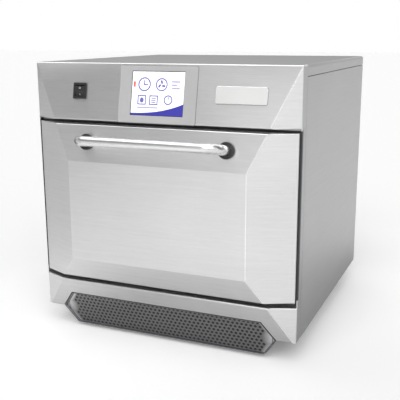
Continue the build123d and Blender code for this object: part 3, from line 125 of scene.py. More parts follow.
def calculate(tree, operation, first, second):
    node = tree.nodes.new("ShaderNodeMath")
    node.operation = operation
    for socket, value in zip(node.inputs, (first, second)):
        if isinstance(value, (int, float)):
            socket.default_value = value
        else:
            tree.links.new(value, socket)
    return node.outputs["Value"]


def mixture(tree, first, first_share, second, second_share):
    """Sum of shares of two values."""
    return calculate(tree, "ADD", calculate(tree, "MULTIPLY", first, first_share),
                     calculate(tree, "MULTIPLY", second, second_share))


def brushing_group():
    """Fine parallel lines and slow tone changes of a brushed sheet."""
    grain = ("Grain", "NodeSocketVector", (1, 1, 1))
    tree, entry, leave = new_group("brushing", [grain], ["Fine lines", "Streaks", "Clouds"])
    place = tree.nodes.new("ShaderNodeTexCoord").outputs["Object"]
    stretch = tree.nodes.new("ShaderNodeVectorMath")
    stretch.operation = "MULTIPLY"
    tree.links.new(place, stretch.inputs[0])
    tree.links.new(entry.outputs["Grain"], stretch.inputs[1])
    tree.links.new(noise(tree, stretch.outputs["Vector"], *FINE_LINES), leave.inputs["Fine lines"])
    tree.links.new(noise(tree, stretch.outputs["Vector"], *STREAKS), leave.inputs["Streaks"])
    tree.links.new(noise(tree, place, *BRUSHED_CLOUDS), leave.inputs["Clouds"])
    return tree


def speckle_group():
    """Fine moulded or cast texture with a slow unevenness."""
    size = ("Size", "NodeSocketFloat", 1.0)
    tree, entry, leave = new_group("speckle", [size], ["Grains", "Clouds"])
    place = tree.nodes.new("ShaderNodeTexCoord").outputs["Object"]
    stretch = tree.nodes.new("ShaderNodeVectorMath")
    stretch.operation = "SCALE"
    tree.links.new(place, stretch.inputs[0])
    tree.links.new(entry.outputs["Size"], stretch.inputs["Scale"])
    tree.links.new(noise(tree, stretch.outputs["Vector"], *GRAINS), leave.inputs["Grains"])
    tree.links.new(noise(tree, place, *MOULDED_CLOUDS), leave.inputs["Clouds"])
    return tree


BRUSHING = brushing_group()
SPECKLE = speckle_group()


def add_group(tree, group):
    node = tree.nodes.new("ShaderNodeGroup")
    node.node_tree = group
    return node


def speckled(tree, size):
    """Speckle group at a size of grain."""
    grains = add_group(tree, SPECKLE)
    grains.inputs["Size"].default_value = size
    return grains


def tint(tree, shader, value, colour, low, high, shade_share=1.0):
    """Feeds the base colour, scaled between two shares by a value, and darkened round holes by painted shade.
    """
    share = spread(tree, value, low, high)
    if shade_share < 1:
        painted_shade = tree.nodes.new("ShaderNodeAttribute")
        painted_shade.attribute_name = PAINTED_SHADE
        share = calculate(tree, "MULTIPLY", share, spread(tree, painted_shade.outputs["Fac"], 1, shade_share))
    mix = tree.nodes.new("ShaderNodeVectorMath")
    mix.operation = "SCALE"
    mix.inputs[0].default_value = colour
    tree.links.new(share, mix.inputs["Scale"])
    tree.links.new(mix.outputs["Vector"], shader.inputs["Base Color"])


def roughen(tree, shader, value, low, high):
    """Feeds the roughness, between two limits by a value."""
    tree.links.new(spread(tree, value, low, high), shader.inputs["Roughness"])


def bump(tree, shader, value, depth):
    node = tree.nodes.new("ShaderNodeBump")
    node.inputs["Distance"].default_value = depth
    tree.links.new(value, node.inputs["Height"])
    tree.links.new(node.outputs["Normal"], shader.inputs["Normal"])


def brushed_steel(name, colour, roughness, grain, stretch, axis="Z", shade_share=1.0):
    """Brushed sheet whose lines run where the grain is small. Its gloss is blurred across the lines."""
    material, tree, shader = new_material(name, colour, roughness, 1.0)
    lines = add_group(tree, BRUSHING)
    lines.inputs["Grain"].default_value = grain
    both = mixture(tree, lines.outputs["Fine lines"], LINE_SHARE, lines.outputs["Streaks"], STREAK_SHARE)
    uneven = mixture(tree, both, BRUSHED_SHARE, lines.outputs["Clouds"], CLOUD_SHARE)
    tint(tree, shader, uneven, colour, *STEEL_TINT, shade_share)
    roughen(tree, shader, uneven, roughness - STEEL_ROUGH_PLAY, roughness + STEEL_ROUGH_PLAY)
    bump(tree, shader, both, BRUSH_DEPTH)
    shader.inputs["Anisotropic"].default_value = stretch
    shader.inputs["Anisotropic Rotation"].default_value = BRUSH_TURN
    tangent = tree.nodes.new("ShaderNodeTangent")
    tangent.direction_type = "RADIAL"
    tangent.axis = axis
    tree.links.new(tangent.outputs["Tangent"], shader.inputs["Tangent"])
    return material


def plain_metal(name, colour, roughness):
    """Unbrushed metal with a fine cast or rolled texture."""
    material, tree, shader = new_material(name, colour, roughness, 1.0)
    grains = speckled(tree, METAL_GRAIN)
    tint(tree, shader, grains.outputs["Clouds"], colour, *METAL_TINT)
    roughen(tree, shader, grains.outputs["Clouds"],
            roughness - METAL_ROUGH_PLAY, roughness + METAL_ROUGH_PLAY)
    bump(tree, shader, grains.outputs["Grains"], METAL_DEPTH)
    return material


def moulded(name, colour, roughness, size=1400, depth=0.00004, coat=0.0):
    """Moulded plastic, rubber or paint with a fine texture."""
    material, tree, shader = new_material(name, colour, roughness)
    grains = speckled(tree, size)
    tint(tree, shader, grains.outputs["Clouds"], colour, *MOULDED_TINT)
    roughen(tree, shader, grains.outputs["Grains"],
            roughness - MOULDED_SMOOTHER, roughness + MOULDED_ROUGHER)
    bump(tree, shader, grains.outputs["Grains"], depth)
    shader.inputs["Coat Weight"].default_value = coat
    return material


# Grain of the brushed sheets: it is small along the lines.
ALONG_X = (0.9, 60, 60)
ALONG_Y = (60, 0.9, 60)
LEVEL = (2.4, 2.4, 60)

FINISHES = {
    "front_steel": brushed_steel("front_steel", (0.71, 0.71, 0.71), 0.34, LEVEL, 0.75),
    # Casing steel is darker than the front steel: partly its satin finish, partly painted shade on the sides.
    "casing_steel": brushed_steel("casing_steel", (0.49, 0.49, 0.495), 0.42, ALONG_Y, 0.4),
    "rear_steel": brushed_steel("rear_steel", (0.55, 0.55, 0.555), 0.42, ALONG_X, 0.4),
    "plate_steel": brushed_steel("plate_steel", (0.45, 0.45, 0.46), 0.4, ALONG_X, 0.4),
    "handle_steel": brushed_steel("handle_steel", (0.77, 0.77, 0.77), 0.28, ALONG_X, 0.3),
    "bezel_plate": moulded("bezel_plate", (0.45, 0.45, 0.45), 0.42, 1800, 0.00001),
    "badge_finish": moulded("badge_finish", (0.68, 0.68, 0.675), 0.35, 1800, 0.00001),
    "screen": moulded("screen", (0.02, 0.02, 0.022), 0.15, 2000, 0.000002, 0.5),
    "display_housing": moulded("display_housing", (0.02, 0.09, 0.05), 0.5),
    "black_plastic": moulded("black_plastic", (0.018, 0.018, 0.019), 0.42),
    "nylon": moulded("nylon", (0.72, 0.7, 0.64), 0.45),
    "foot_rubber": moulded("foot_rubber", (0.02, 0.02, 0.02), 0.7),
    "seal_rubber": moulded("seal_rubber", (0.05, 0.05, 0.052), 0.6),
    "filter_steel": brushed_steel("filter_steel", (0.3, 0.3, 0.31), 0.42, ALONG_X, 0.3),
    "duct_steel": plain_metal("duct_steel", (0.2, 0.2, 0.21), 0.5),
    "cavity_steel": brushed_steel("cavity_steel", (0.52, 0.52, 0.52), 0.34, ALONG_Y, 0.4),
    "cook_plate_metal": plain_metal("cook_plate_metal", (0.3, 0.3, 0.31), 0.48),
    "insulation": moulded("insulation", (0.78, 0.75, 0.66), 0.95, 500, 0.0006),
    "hinge_steel": plain_metal("hinge_steel", (0.5, 0.5, 0.51), 0.36),
    "heater_sheath": plain_metal("heater_sheath", (0.12, 0.11, 0.105), 0.55),
    "motor_steel": plain_metal("motor_steel", (0.42, 0.42, 0.44), 0.45),
    "waveguide_metal": plain_metal("waveguide_metal", (0.62, 0.62, 0.63), 0.4),
    "transformer_iron": plain_metal("transformer_iron", (0.12, 0.09, 0.07), 0.55),
}
# Perforated steel: bright where plain, and darkened round its holes by painted shade.
PERFORATED = brushed_steel("perforated_steel", (0.95, 0.95, 0.96), 0.42, ALONG_X, 0.3, shade_share=0.31)
# Steel for faces that face up, brushed along x. Its darker tone and tinted gloss are painted shade.
SHADED_LID_STEEL = brushed_steel("shaded_lid_steel", (0.36, 0.36, 0.365), 0.38, ALONG_X, 0.4, axis="Y")
SHADED_LID_STEEL.node_tree.nodes["Principled BSDF"].inputs["Specular Tint"].default_value = (0.6, 0.6, 0.6, 1)
# Brighter, glossier copy of the front steel for ridges on the right and the badge's cut edges: a painted
# highlight.
HIGHLIGHT_STEEL = brushed_steel("highlight_steel", (0.88, 0.88, 0.88), 0.24, LEVEL, 0.5)
# Dark edging for the painted shadow round the bezel and the badge.
OUTLINE_SHADOW = moulded("outline_shadow", (0.22, 0.22, 0.22), 0.6)
# Brighter steel for faces that face up on the door and the lower fascia: a painted highlight on the ledges by
# the gaps.
LEDGE_HIGHLIGHT_STEEL = brushed_steel("ledge_highlight_steel", (0.74, 0.74, 0.74), 0.34, ALONG_X, 0.4, axis="Y")
# Material numbers on a dressed sheet, after its own finish, which is number 0. They are chosen by which way a
# face looks, and they paint shade and highlights.
SHEET_EXTRAS = (FINISHES["casing_steel"], SHADED_LID_STEEL, HIGHLIGHT_STEEL, LEDGE_HIGHLIGHT_STEEL)
SIDE_SHADE_NUMBER, SHADED_LID_NUMBER, HIGHLIGHT_NUMBER, LEDGE_HIGHLIGHT_NUMBER = range(1, 5)

SLOT_OF = {part["node"]: part["material_slot"] for part in frame["record"]["subparts"]}
for name, node in nodes.items():
    node.data.materials.clear()
    node.data.materials.append(FINISHES[SLOT_OF[name]])


# Sizes repeated from the solids: the feet, the duct mouth with the filter in it, the sheets and their play.
FOOT_H = 49 * MM
HEX_TOP_W = 444 * MM
HEX_MID_W = 505 * MM
HEX_LOW_W = 447 * MM
HEX_TOP_RISE = 40.5 * MM
HEX_LOW_DROP = 41.5 * MM
FILTER_GAP = 2 * MM
RIM_T = 1.5 * MM
RIM_D = 9 * MM
RECESS = 7 * MM
SHEET_T = 1.2 * MM
SHEET = 1.5 * MM
SEAT = 0.3 * MM

# The filter's finer sheet and its holes.
SLIT = 0.5 * MM
END_CUT = 7 * MM
SEAM = 1.2 * MM
HOLE_PITCH = 9.86 * MM
HOLE_ROW_STEP = 8.66 * MM
HOLE_ROWS = 9
HOLE_COLUMNS = 44
HOLE_ROW_EXTRAS = (0, 1, 2, 1)
HOLE_TOP = 33.9 * MM
HOLE_R = 3.15 * MM
HOLE_SIDES = 10

# Which faces and folds of a solid are told apart, in metres and degrees, and how the folds are rounded.
MERGE = 0.005 * MM
JOIN_TURN = 0.6
FRONT_FACING = 0.5
LEANING = 0.05
PLANE_DIGITS = 3
FLAT_SHARE = 0.97
FOLD_LENGTH = 12 * MM
RIM_BREADTH = 3 * MM
SOFT_BREADTH = 2.2 * MM
LEVEL_TURN = 1
SOFT_TURN = 8
SMOOTH_TURN = 32
SHARP_TURN = 60
STRAIGHT = 180
FOLD_R = 1.2 * MM
CORNER_R = 3 * MM
RIDGE_R = 1.4 * MM
FOLD_STEPS = 3
# Ridges further right than this get the painted highlight.
HIGHLIGHT_RIDGE_X = 50 * MM

# Dark tape, strips and edgings that paint shadow in seams, in gaps and round plates, and how far the lid's
# lower edges are raised to show the tape.
SHADOW_TAPE_LIFT = 0.6 * MM
SHADOW_TAPE_T = 0.15 * MM
SHADOW_TAPE_W = 3 * MM
GAP_SHADOW_T = 0.4 * MM
GAP_SHADOW_LAP = 14 * MM
GAP_STRIP_T = 7 * MM
GAP_STRIP_PLAY = 0.6 * MM
OUTLINE_SHADOW_T = 0.2 * MM
OUTLINE_SHADOW_UNDER = SEAT * 2
BEZEL_LAP = 0.8 * MM
BEZEL_CORNER = 3 * MM
BADGE_LAP = 0.6 * MM
BADGE_CORNER = 4 * MM
CORNER_STEPS = 5

# The lit screen and the marks on the switch.
SCREEN_W = 114.5 * MM
SCREEN_H = 86.5 * MM
FIELD_T = 0.12 * MM
INK_T = 0.08 * MM
BAND_STEPS = 28
BAND_LOW = 4
BAND_CLIMB = 20
BAND_CURVE = 2.4
BLADE = (7, 4)
BLADE_LEAN = 20
SWITCH_MARK_RISE = 6.5 * MM
SWITCH_REACH = 20 * MM

DRESSED = [
    ("control_fascia", "oven_body"),
    ("lower_fascia", "oven_body"),
    ("top_cover", "oven_body"),
    ("side_panel_left", "oven_body"),
    ("side_panel_right", "oven_body"),
    ("rear_panel", "oven_body"),
    ("front_plate", "oven_body"),
    ("door_skin", "door"),
]


def facet(name, leaning, height):
    """Frame on a node's widest sloping face, at a height: x to the right, y up along it, z out of it."""
    areas = {}
    for face in nodes[name].data.polygons:
        if face.normal.y < -FRONT_FACING and face.normal.z * leaning > LEANING:
            key = tuple(round(part, PLANE_DIGITS) for part in (*face.normal, face.normal @ face.center))
            areas.setdefault(key, []).append(face)
    faces = max(areas.values(), key=lambda group: sum(face.area for face in group))
    normal = max(faces, key=lambda face: face.area).normal.copy()
    reach = normal @ faces[0].center
    along = Vector((1, 0, 0))
    start = Vector((0, (reach - normal.z * height) / normal.y, height))
    turn = Matrix((along, normal.cross(along), normal)).transposed()
    return Matrix.Translation(start) @ turn.to_4x4()


def add_object(bm, name, material):
    """Closes a bmesh into an object of the scene."""
    data = bpy.data.meshes.new(name)
    bm.to_mesh(data)
    bm.free()
    data.materials.append(material)
    made = bpy.data.objects.new(name, data)
    bpy.context.scene.collection.objects.link(made)
    return made


def add_piece(bm, name, body, material, place=None, recalculate=True):
    """Closes a bmesh into a piece that rides on a body."""
    if place is not None:
        bm.transform(place)
    if recalculate:
        bmesh.ops.recalc_face_normals(bm, faces=bm.faces)
    piece = add_object(bm, name, material)
    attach(piece, body)
    return piece


def breadth(face):
    """Twice the area over the outline: for a long strip this is its width."""
    return 2 * face.calc_area() / sum(edge.calc_length() for edge in face.edges)


def soften(bm):
    """Smooth shading over level joints and within rounded folds and thin strips. Other edges stay sharp."""
    soft = {face for face in bm.faces if breadth(face) < SOFT_BREADTH}
    for face in bm.faces:
        face.smooth = True
    for edge in bm.edges:
        turn = math.degrees(edge.calc_face_angle(0)) if len(edge.link_faces) == 2 else STRAIGHT
        edge.smooth = turn < LEVEL_TURN or turn < SMOOTH_TURN and soft.issuperset(edge.link_faces)


def long_folds(bm, low, high):
    """Long edges between broad faces that meet at an angle within limits in degrees."""
    folds = []
    for edge in bm.edges:
        if len(edge.link_faces) == 2 and edge.calc_length() > FOLD_LENGTH:
            bent = math.radians(low) < edge.calc_face_angle(0) < math.radians(high)
            if bent and min(breadth(face) for face in edge.link_faces) > RIM_BREADTH:
                folds.append(edge)
    return folds


def rounded(bm, folds, width):
    made = bmesh.ops.bevel(bm, geom=folds, offset=width, offset_type="OFFSET", segments=FOLD_STEPS,
                           profile=0.5, affect="EDGES", clamp_overlap=False, material=-1)
    return made["faces"]


def joined(name):
    """Copy of a solid's mesh with its triangles joined into faces."""
    bm = bmesh.new()
    bm.from_mesh(nodes[name].data)
    bmesh.ops.remove_doubles(bm, verts=bm.verts, dist=MERGE)
    bmesh.ops.dissolve_limit(bm, angle_limit=math.radians(JOIN_TURN), verts=bm.verts, edges=bm.edges)
    return bm


def dressed(name, body):
    """Sheet with its folds rounded. Ridges on the right get a painted highlight. Faces that face up get
    painted shade, or a painted highlight on the door and lower fascia, and sideways faces of front sheets get
    painted shade.
    """
    bm = joined(name)
    front = SLOT_OF[name] == "front_steel"
    rounded(bm, long_folds(bm, SHARP_TURN, STRAIGHT), CORNER_R if front else FOLD_R)
    for face in rounded(bm, long_folds(bm, SOFT_TURN, SHARP_TURN), RIDGE_R):
        # Ridges on the right side get a painted highlight.
        if front and face.normal.y < 0 and face.calc_center_median().x > HIGHLIGHT_RIDGE_X:
            face.material_index = HIGHLIGHT_NUMBER
    bm.normal_update()
    soften(bm)
    for face in bm.faces:
        # Sideways faces of a front sheet take the darker casing steel as painted shade.
        if abs(face.normal.x) > FLAT_SHARE and front:
            face.material_index = SIDE_SHADE_NUMBER
        # Faces that face up: painted highlight on the door and lower fascia, painted shade on the other
        # sheets.
        if face.normal.z > FLAT_SHARE:
            face.material_index = LEDGE_HIGHLIGHT_NUMBER if name in ("door_skin", "lower_fascia") else SHADED_LID_NUMBER
    # The lid's lower edges are raised to show the dark tape that paints the seam's shadow.
    if name == "top_cover":
        for vert in bm.verts:
            if vert.co.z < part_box(name)[0].z + FOLD_R:
                vert.co.z += SHADOW_TAPE_LIFT
    piece = add_piece(bm, name + "_sheet", body, FINISHES[SLOT_OF[name]], recalculate=False)
    for material in SHEET_EXTRAS:
        piece.data.materials.append(material)
    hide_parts(name)


def add_badge():
    """Bare raised plate, off-white in front. Its cut edges take the brighter highlight steel, a painted
    highlight.
    """
    bm = joined("badge_plate")
    soften(bm)
    outward = facet("control_fascia", 1, 0).col[2].xyz
    for face in bm.faces:
        if face.normal @ outward < FLAT_SHARE:
            face.material_index = 1
    piece = add_piece(bm, "badge", "oven_body", FINISHES["badge_finish"],
                      recalculate=False)
    piece.data.materials.append(HIGHLIGHT_STEEL)
    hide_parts("badge_plate")


def outline(bm, points):
    """Closed loop of edges through points of a plane."""
    corners = [bm.verts.new((x, y, 0)) for x, y in points]
    return [bm.edges.new(pair) for pair in zip(corners, corners[1:] + corners[:1])]


def flat_sheet(bm, edges, thickness, lean=0.0):
    """Fills loops, the inner ones as holes, and gives the sheet its thickness downwards, or down a slant."""
    bmesh.ops.triangle_fill(bm, use_beauty=True, use_dissolve=False, edges=edges, normal=(0, 0, 1))
    pulled = bmesh.ops.extrude_face_region(bm, geom=bm.faces[:])
    verts = [item for item in pulled["geom"] if isinstance(item, bmesh.types.BMVert)]
    bmesh.ops.translate(bm, vec=(0, -thickness * lean, -thickness), verts=verts)


def round_cornered(low, high, corner, reach):
    """Points round a rectangle with rounded corners, set out from it by a reach."""
    points = []
    for turn, x, y in ((180, low.x, low.y), (270, high.x, low.y), (0, high.x, high.y), (90, low.x, high.y)):
        centre_x = x - math.copysign(corner, x - (low.x + high.x) / 2)
        centre_y = y - math.copysign(corner, y - (low.y + high.y) / 2)
        for step in range(CORNER_STEPS + 1):
            angle = math.radians(turn + 90 * step / CORNER_STEPS)
            points.append((centre_x + (corner + reach) * math.cos(angle),
                           centre_y + (corner + reach) * math.sin(angle)))
    return points


def add_outline_shadow(name, node, lap, corner):
    """Thin dark edging on the fascia, seen as a line round a plate with rounded corners: a painted shadow."""
    plane = facet("control_fascia", 1, 0)
    flat = [plane.inverted() @ vert.co for vert in nodes[node].data.vertices]
    low, high = (Vector((pick(p.x for p in flat), pick(p.y for p in flat))) for pick in (min, max))
    bm = bmesh.new()
    edges = []
    for reach in (lap, -OUTLINE_SHADOW_UNDER):
        edges += outline(bm, round_cornered(low, high, corner, reach))
    flat_sheet(bm, edges, OUTLINE_SHADOW_T)
    add_piece(bm, name, "oven_body", OUTLINE_SHADOW, plane @ Matrix.Translation((0, 0, OUTLINE_SHADOW_T)))


def add_block(name, middle, size, material):
    """Straight strip on the oven's body."""
    bm = bmesh.new()
    bmesh.ops.create_cube(bm, size=1, matrix=Matrix.Translation(middle) @ Matrix.Diagonal((*size, 1)))
    add_piece(bm, name, "oven_body", material)


def add_gap_shadow_strips():
    """Black strips on the front plate's side edges, just outside the edges of the door: painted shadow in the
    side gaps.
    """
    plate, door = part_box("front_plate"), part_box("door_skin")
    inner, side = door[1].x + GAP_STRIP_PLAY, plate[1].x
    low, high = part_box("lower_fascia")[1].z - SEAT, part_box("control_fascia")[0].z + SHEET
    size = (side - inner, GAP_STRIP_T, high - low)
    for name, sign in (("left", -1), ("right", 1)):
        middle = (sign * (side + inner) / 2, plate[0].y - GAP_STRIP_T / 2, (low + high) / 2)
        add_block("gap_shadow_strip_" + name, middle, size, FINISHES["black_plastic"])


def add_seam_shadow_tape():
    """Dark tape on the joggled strips under the lid's side edges: a painted shadow in the seam."""
    low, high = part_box("top_cover")
    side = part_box("side_panel_right")[1].x - SHEET
    size = (SHADOW_TAPE_T, high.y - low.y - SHEET * 2, SHADOW_TAPE_W)
    for name, x in (("left", -side), ("right", side)):
        middle = (math.copysign(side - SEAT + SHADOW_TAPE_T / 2, x), (low.y + high.y) / 2, low.z)
        add_block("lid_shadow_tape_" + name, middle, size, FINISHES["seal_rubber"])


def hexagon(inset, corner_cut=0.0):
    """Outline of the duct mouth in the plane of the bottom facet, set in, with its side corners cut off."""
    stretch = 1 / abs(FILTER_PLANE.col[2].y)
    rise, drop = HEX_TOP_RISE * stretch, HEX_LOW_DROP * stretch
    top, low = rise - inset, inset - drop
    slant = (HEX_MID_W - HEX_TOP_W) / 2 / rise
    lean = (HEX_MID_W - HEX_LOW_W) / 2 / drop
    upper = HEX_MID_W / 2 - inset * math.hypot(1, slant)
    lower = HEX_MID_W / 2 - inset * math.hypot(1, lean)
    middle_height = (upper - lower) / (slant + lean)
    middle = upper - slant * middle_height
    right = [(upper - slant * top, top)]
    if corner_cut:
        edge = middle - corner_cut
        right += [(edge, (upper - edge) / slant), (edge, -(lower - edge) / lean)]
    else:
        right += [(middle, middle_height)]
    right += [(lower + lean * low, low)]
    return right + [(-x, y) for x, y in reversed(right)]


def loop_edges(loop):
    return list({edge for vert in loop["verts"] for edge in vert.link_edges})


def add_filter():
    """Perforated sheet before a black mesh, deep in a thin hexagonal rim that runs straight back."""
    lean = abs(FILTER_PLANE.col[2].z / FILTER_PLANE.col[2].y)
    inner = FILTER_GAP + RIM_T
    bm = bmesh.new()
    flat_sheet(bm, outline(bm, hexagon(FILTER_GAP)) + outline(bm, hexagon(inner)), RIM_D, lean)
    rim = add_piece(bm, "air_filter_rim", "air_filter", FINISHES["filter_steel"],
                    FILTER_PLANE)
    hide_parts("air_filter_panel")

    bm = bmesh.new()
    flat_sheet(bm, outline(bm, hexagon(inner)), RIM_D - RECESS - SHEET_T, lean)
    sunk = RECESS + SHEET_T
    place = FILTER_PLANE @ Matrix.Translation((0, -sunk * lean, -sunk))
    add_piece(bm, "air_filter_mesh", "air_filter", FINISHES["black_plastic"], place)

    bm = bmesh.new()
    painted_shade = bm.verts.layers.float.new(PAINTED_SHADE)
    edges = outline(bm, hexagon(inner + SLIT, END_CUT))
    for row in range(HOLE_ROWS):
        y = HOLE_TOP - row * HOLE_ROW_STEP
        count = HOLE_COLUMNS + HOLE_ROW_EXTRAS[row % len(HOLE_ROW_EXTRAS)]
        for column in range(count):
            x = (column - (count - 1) / 2) * HOLE_PITCH
            loop = bmesh.ops.create_circle(bm, cap_ends=False, segments=HOLE_SIDES, radius=HOLE_R,
                                           matrix=Matrix.Translation((x, y, 0)))
            # The hole rims get the painted shade.
            for vert in loop["verts"]:
                vert[painted_shade] = 1
            edges += loop_edges(loop)
    flat_sheet(bm, edges, SHEET_T)
    place = FILTER_PLANE @ Matrix.Translation((0, -RECESS * lean, -RECESS))
    add_piece(bm, "air_filter_sheet", "air_filter", PERFORATED, place)

    bm = bmesh.new()
    corners = hexagon(inner + SLIT)
    seam = hexagon(inner + SLIT, END_CUT - SEAM)
    edges = []
    # Each side corner, and the first of the two points that it has where it is cut off.
    for corner, cut in ((1, 1), (4, 5)):
        edges += outline(bm, [seam[cut], corners[corner], seam[cut + 1]])
    flat_sheet(bm, edges, SHEET_T)
    add_piece(bm, "air_filter_tabs", "air_filter", PERFORATED, place)


# Drawing in millimetres from the middle of a plane.
def circle(bm, x, y, radius, sides=32, squeeze=1.0):
    place = Matrix.Translation((x * MM, y * MM, 0)) @ Matrix.Diagonal((MM, MM * squeeze, 1, 1))
    made = bmesh.ops.create_circle(bm, cap_ends=False, segments=sides, radius=radius, matrix=place)
    return loop_edges(made)


def bar(bm, x, y, width, height, turn=0.0):
    place = Matrix.Translation((x * MM, y * MM, 0)) @ Matrix.Rotation(math.radians(turn), 4, "Z")
    place = place @ Matrix.Diagonal((width * MM, height * MM, 1, 1)) @ Matrix.Rotation(math.pi / 4, 4, "Z")
    made = bmesh.ops.create_circle(bm, cap_ends=False, segments=4, radius=math.sqrt(0.5), matrix=place)
    return loop_edges(made)


def band(bm):
    """Coloured area along the foot of the screen, with a curved upper edge that climbs to the right."""
    half, low = SCREEN_W / 2, -SCREEN_H / 2
    points = [(half, low), (-half, low)]
    for step in range(BAND_STEPS + 1):
        share = step / BAND_STEPS
        points.append((-half + SCREEN_W * share, low + (BAND_LOW + BAND_CLIMB * share ** BAND_CURVE) * MM))
    return outline(bm, points)


def fan_blades(bm, x, y, reach, turns):
    edges = []
    for turn in turns:
        angle = math.radians(turn)
        edges += bar(bm, x + reach * math.cos(angle), y + reach * math.sin(angle), *BLADE, turn + BLADE_LEAN)
    return edges


# Each drawing is a list of shapes with their sizes. A shape within another one is a hole in it,
# and a shape within a hole is filled.
FIELD = [(bar, 0, 0, SCREEN_W / MM, SCREEN_H / MM)]
BAND = [(band,)]
DIAL = [(circle, -30, 18, 14), (circle, -30, 18, 11.4), (bar, -30, 21, 2.4, 10), (bar, -25.4, 17.2, 6.6, 2.4)]
FAN = [(circle, 8, 18, 13), (circle, 8, 18, 10.6), (fan_blades, 8, 18, 5.2, (90, 210, 330))]
TILES = [(bar, -34, -13, 19, 19), (bar, -34, -13, 14.6, 14.6),
         (bar, -8, -13, 19, 19), (bar, -8, -13, 14.6, 14.6)]
DROP = [(circle, -34, -13.4, 4.4, 16, 1.2)]
TILE_LINES = [(bar, -8, -17, 9.6, 2), (bar, -8, -13, 9.6, 2), (bar, -8, -9, 9.6, 2)]
KNOB = [(circle, 24, -12, 9.6, 24), (circle, 24, -12, 7.2, 24), (bar, 24, -8.4, 2.2, 5)]
PALE_LINES = [(bar, 39, 24, 18, 3), (bar, 36, 17.5, 12, 3), (bar, 39, 11, 18, 3), (bar, -21, -28, 46, 2.6)]
RED_MARK = [(bar, -52, 18, 4.6, 11)]
RING = [(circle, 0, 0, 2.3, 20), (circle, 0, 0, 1.1, 20)]
STROKE = [(bar, 0, 0, 1.1, 3.4)]


def drawn(drawing, thickness):
    """Thin sheet in the shape of a drawing."""
    bm = bmesh.new()
    flat_sheet(bm, [edge for shape, *sizes in drawing for edge in shape(bm, *sizes)], thickness)
    return bm


def lit(name, colour, glow):
    """Lit area of the display, seen under a faint dot pattern."""
    material, tree, shader = new_material(name, colour, SCREEN_ROUGHNESS)
    tint(tree, shader, speckled(tree, SCREEN_GRAIN).outputs["Grains"], colour, *SCREEN_TINT)
    shader.inputs["Emission Color"].default_value = (*colour, 1)
    shader.inputs["Emission Strength"].default_value = glow
    return material


def add_screen():
    """Lit field on the touch glass, with a plain drawing of its own on it."""
    low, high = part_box("touch_glass")
    glass = facet("touch_glass", 1, (low.z + high.z) / 2)
    front = glass @ Matrix.Translation((0, 0, FIELD_T))
    for name, drawing, paint, thickness, plane in (
        ("screen_field", FIELD, ("screen_white", (0.9, 0.9, 0.92), 0.35), FIELD_T, glass),
        ("screen_band", BAND, ("screen_blue", (0.038, 0.038, 0.33), 0.25), INK_T, front),
        ("screen_signs", DIAL + FAN + TILES + DROP + TILE_LINES + KNOB,
         ("screen_violet", (0.15, 0.14, 0.42), 0.2), INK_T, front),
        ("screen_lines", PALE_LINES, ("screen_pale", (0.4, 0.38, 0.62), 0.2), INK_T, front),
        ("screen_red_mark", RED_MARK, ("screen_red", (0.75, 0.12, 0.12), 0.2), INK_T, front),
    ):
        place = plane @ Matrix.Translation((0, 0, thickness))
        add_piece(drawn(drawing, thickness), name, "oven_body", lit(*paint), place)


def add_gap_shadow():
    """Dark strip on the front plate behind the gap round the door: a painted shadow in the gap."""
    low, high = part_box("front_plate")
    door_low, door_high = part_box("door_skin")
    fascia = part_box("control_fascia")[0].z
    lap = GAP_SHADOW_LAP
    outer = [(low.x, low.z), (high.x, low.z), (high.x, fascia), (low.x, fascia)]
    inner = [(door_low.x + lap, door_low.z + lap), (door_high.x - lap, door_low.z + lap),
             (door_high.x - lap, door_high.z - lap), (door_low.x + lap, door_high.z - lap)]
    bm = bmesh.new()
    flat_sheet(bm, outline(bm, outer) + outline(bm, inner), GAP_SHADOW_T)
    place = Matrix.Translation((0, low.y - GAP_SHADOW_T, 0)) @ Matrix.Rotation(math.pi / 2, 4, "X")
    add_piece(bm, "gap_shadow_sheet", "oven_body", FINISHES["seal_rubber"], place)


def add_switch_marks():
    """Ring and stroke printed on the two ends of the rocker, laid onto its face."""
    low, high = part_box("switch_rocker")
    middle = (low + high) / 2
    plane = facet("control_fascia", 1, middle.z)
    plane.translation.x = middle.x
    data = nodes["switch_rocker"].data
    tree = BVHTree.FromPolygons([vert.co for vert in data.vertices],
                                [face.vertices for face in data.polygons])
    inward = -plane.col[2].xyz
    paint = moulded("switch_mark", (0.8, 0.8, 0.78), 0.5)
    for name, drawing, rise in (("ring", RING, SWITCH_MARK_RISE), ("stroke", STROKE, -SWITCH_MARK_RISE)):
        bm = drawn(drawing, INK_T)
        bm.transform(plane @ Matrix.Translation((0, rise, SWITCH_REACH)))
        for vert in bm.verts:
            hit, _, _, distance = tree.ray_cast(vert.co, inward)
            if hit is not None:
                vert.co += inward * (distance - INK_T)
        add_piece(bm, "switch_" + name, "rocker", paint)


FILTER_PLANE = facet("lower_fascia", -1, FOOT_H)
for name, body in DRESSED:
    dressed(name, body)
add_seam_shadow_tape()
add_gap_shadow_strips()
add_badge()
add_outline_shadow("bezel_outline_shadow", "screen_bezel", BEZEL_LAP, BEZEL_CORNER)
add_outline_shadow("badge_outline_shadow", "badge_plate", BADGE_LAP, BADGE_CORNER)
add_filter()
add_gap_shadow()
add_screen()
add_switch_marks()


# Camera at the photograph's place, worked out from the body's edges.
# The turns are yaw, pitch and roll in degrees.
CAMERA_PLACE = (0.6243, -1.5123, 0.6475)
CAMERA_TURNS = (23.21, 13.28, -0.26)
CAMERA_LENS = 62.85
CAMERA_SENSOR = 36
CAMERA_SIGHT = 100
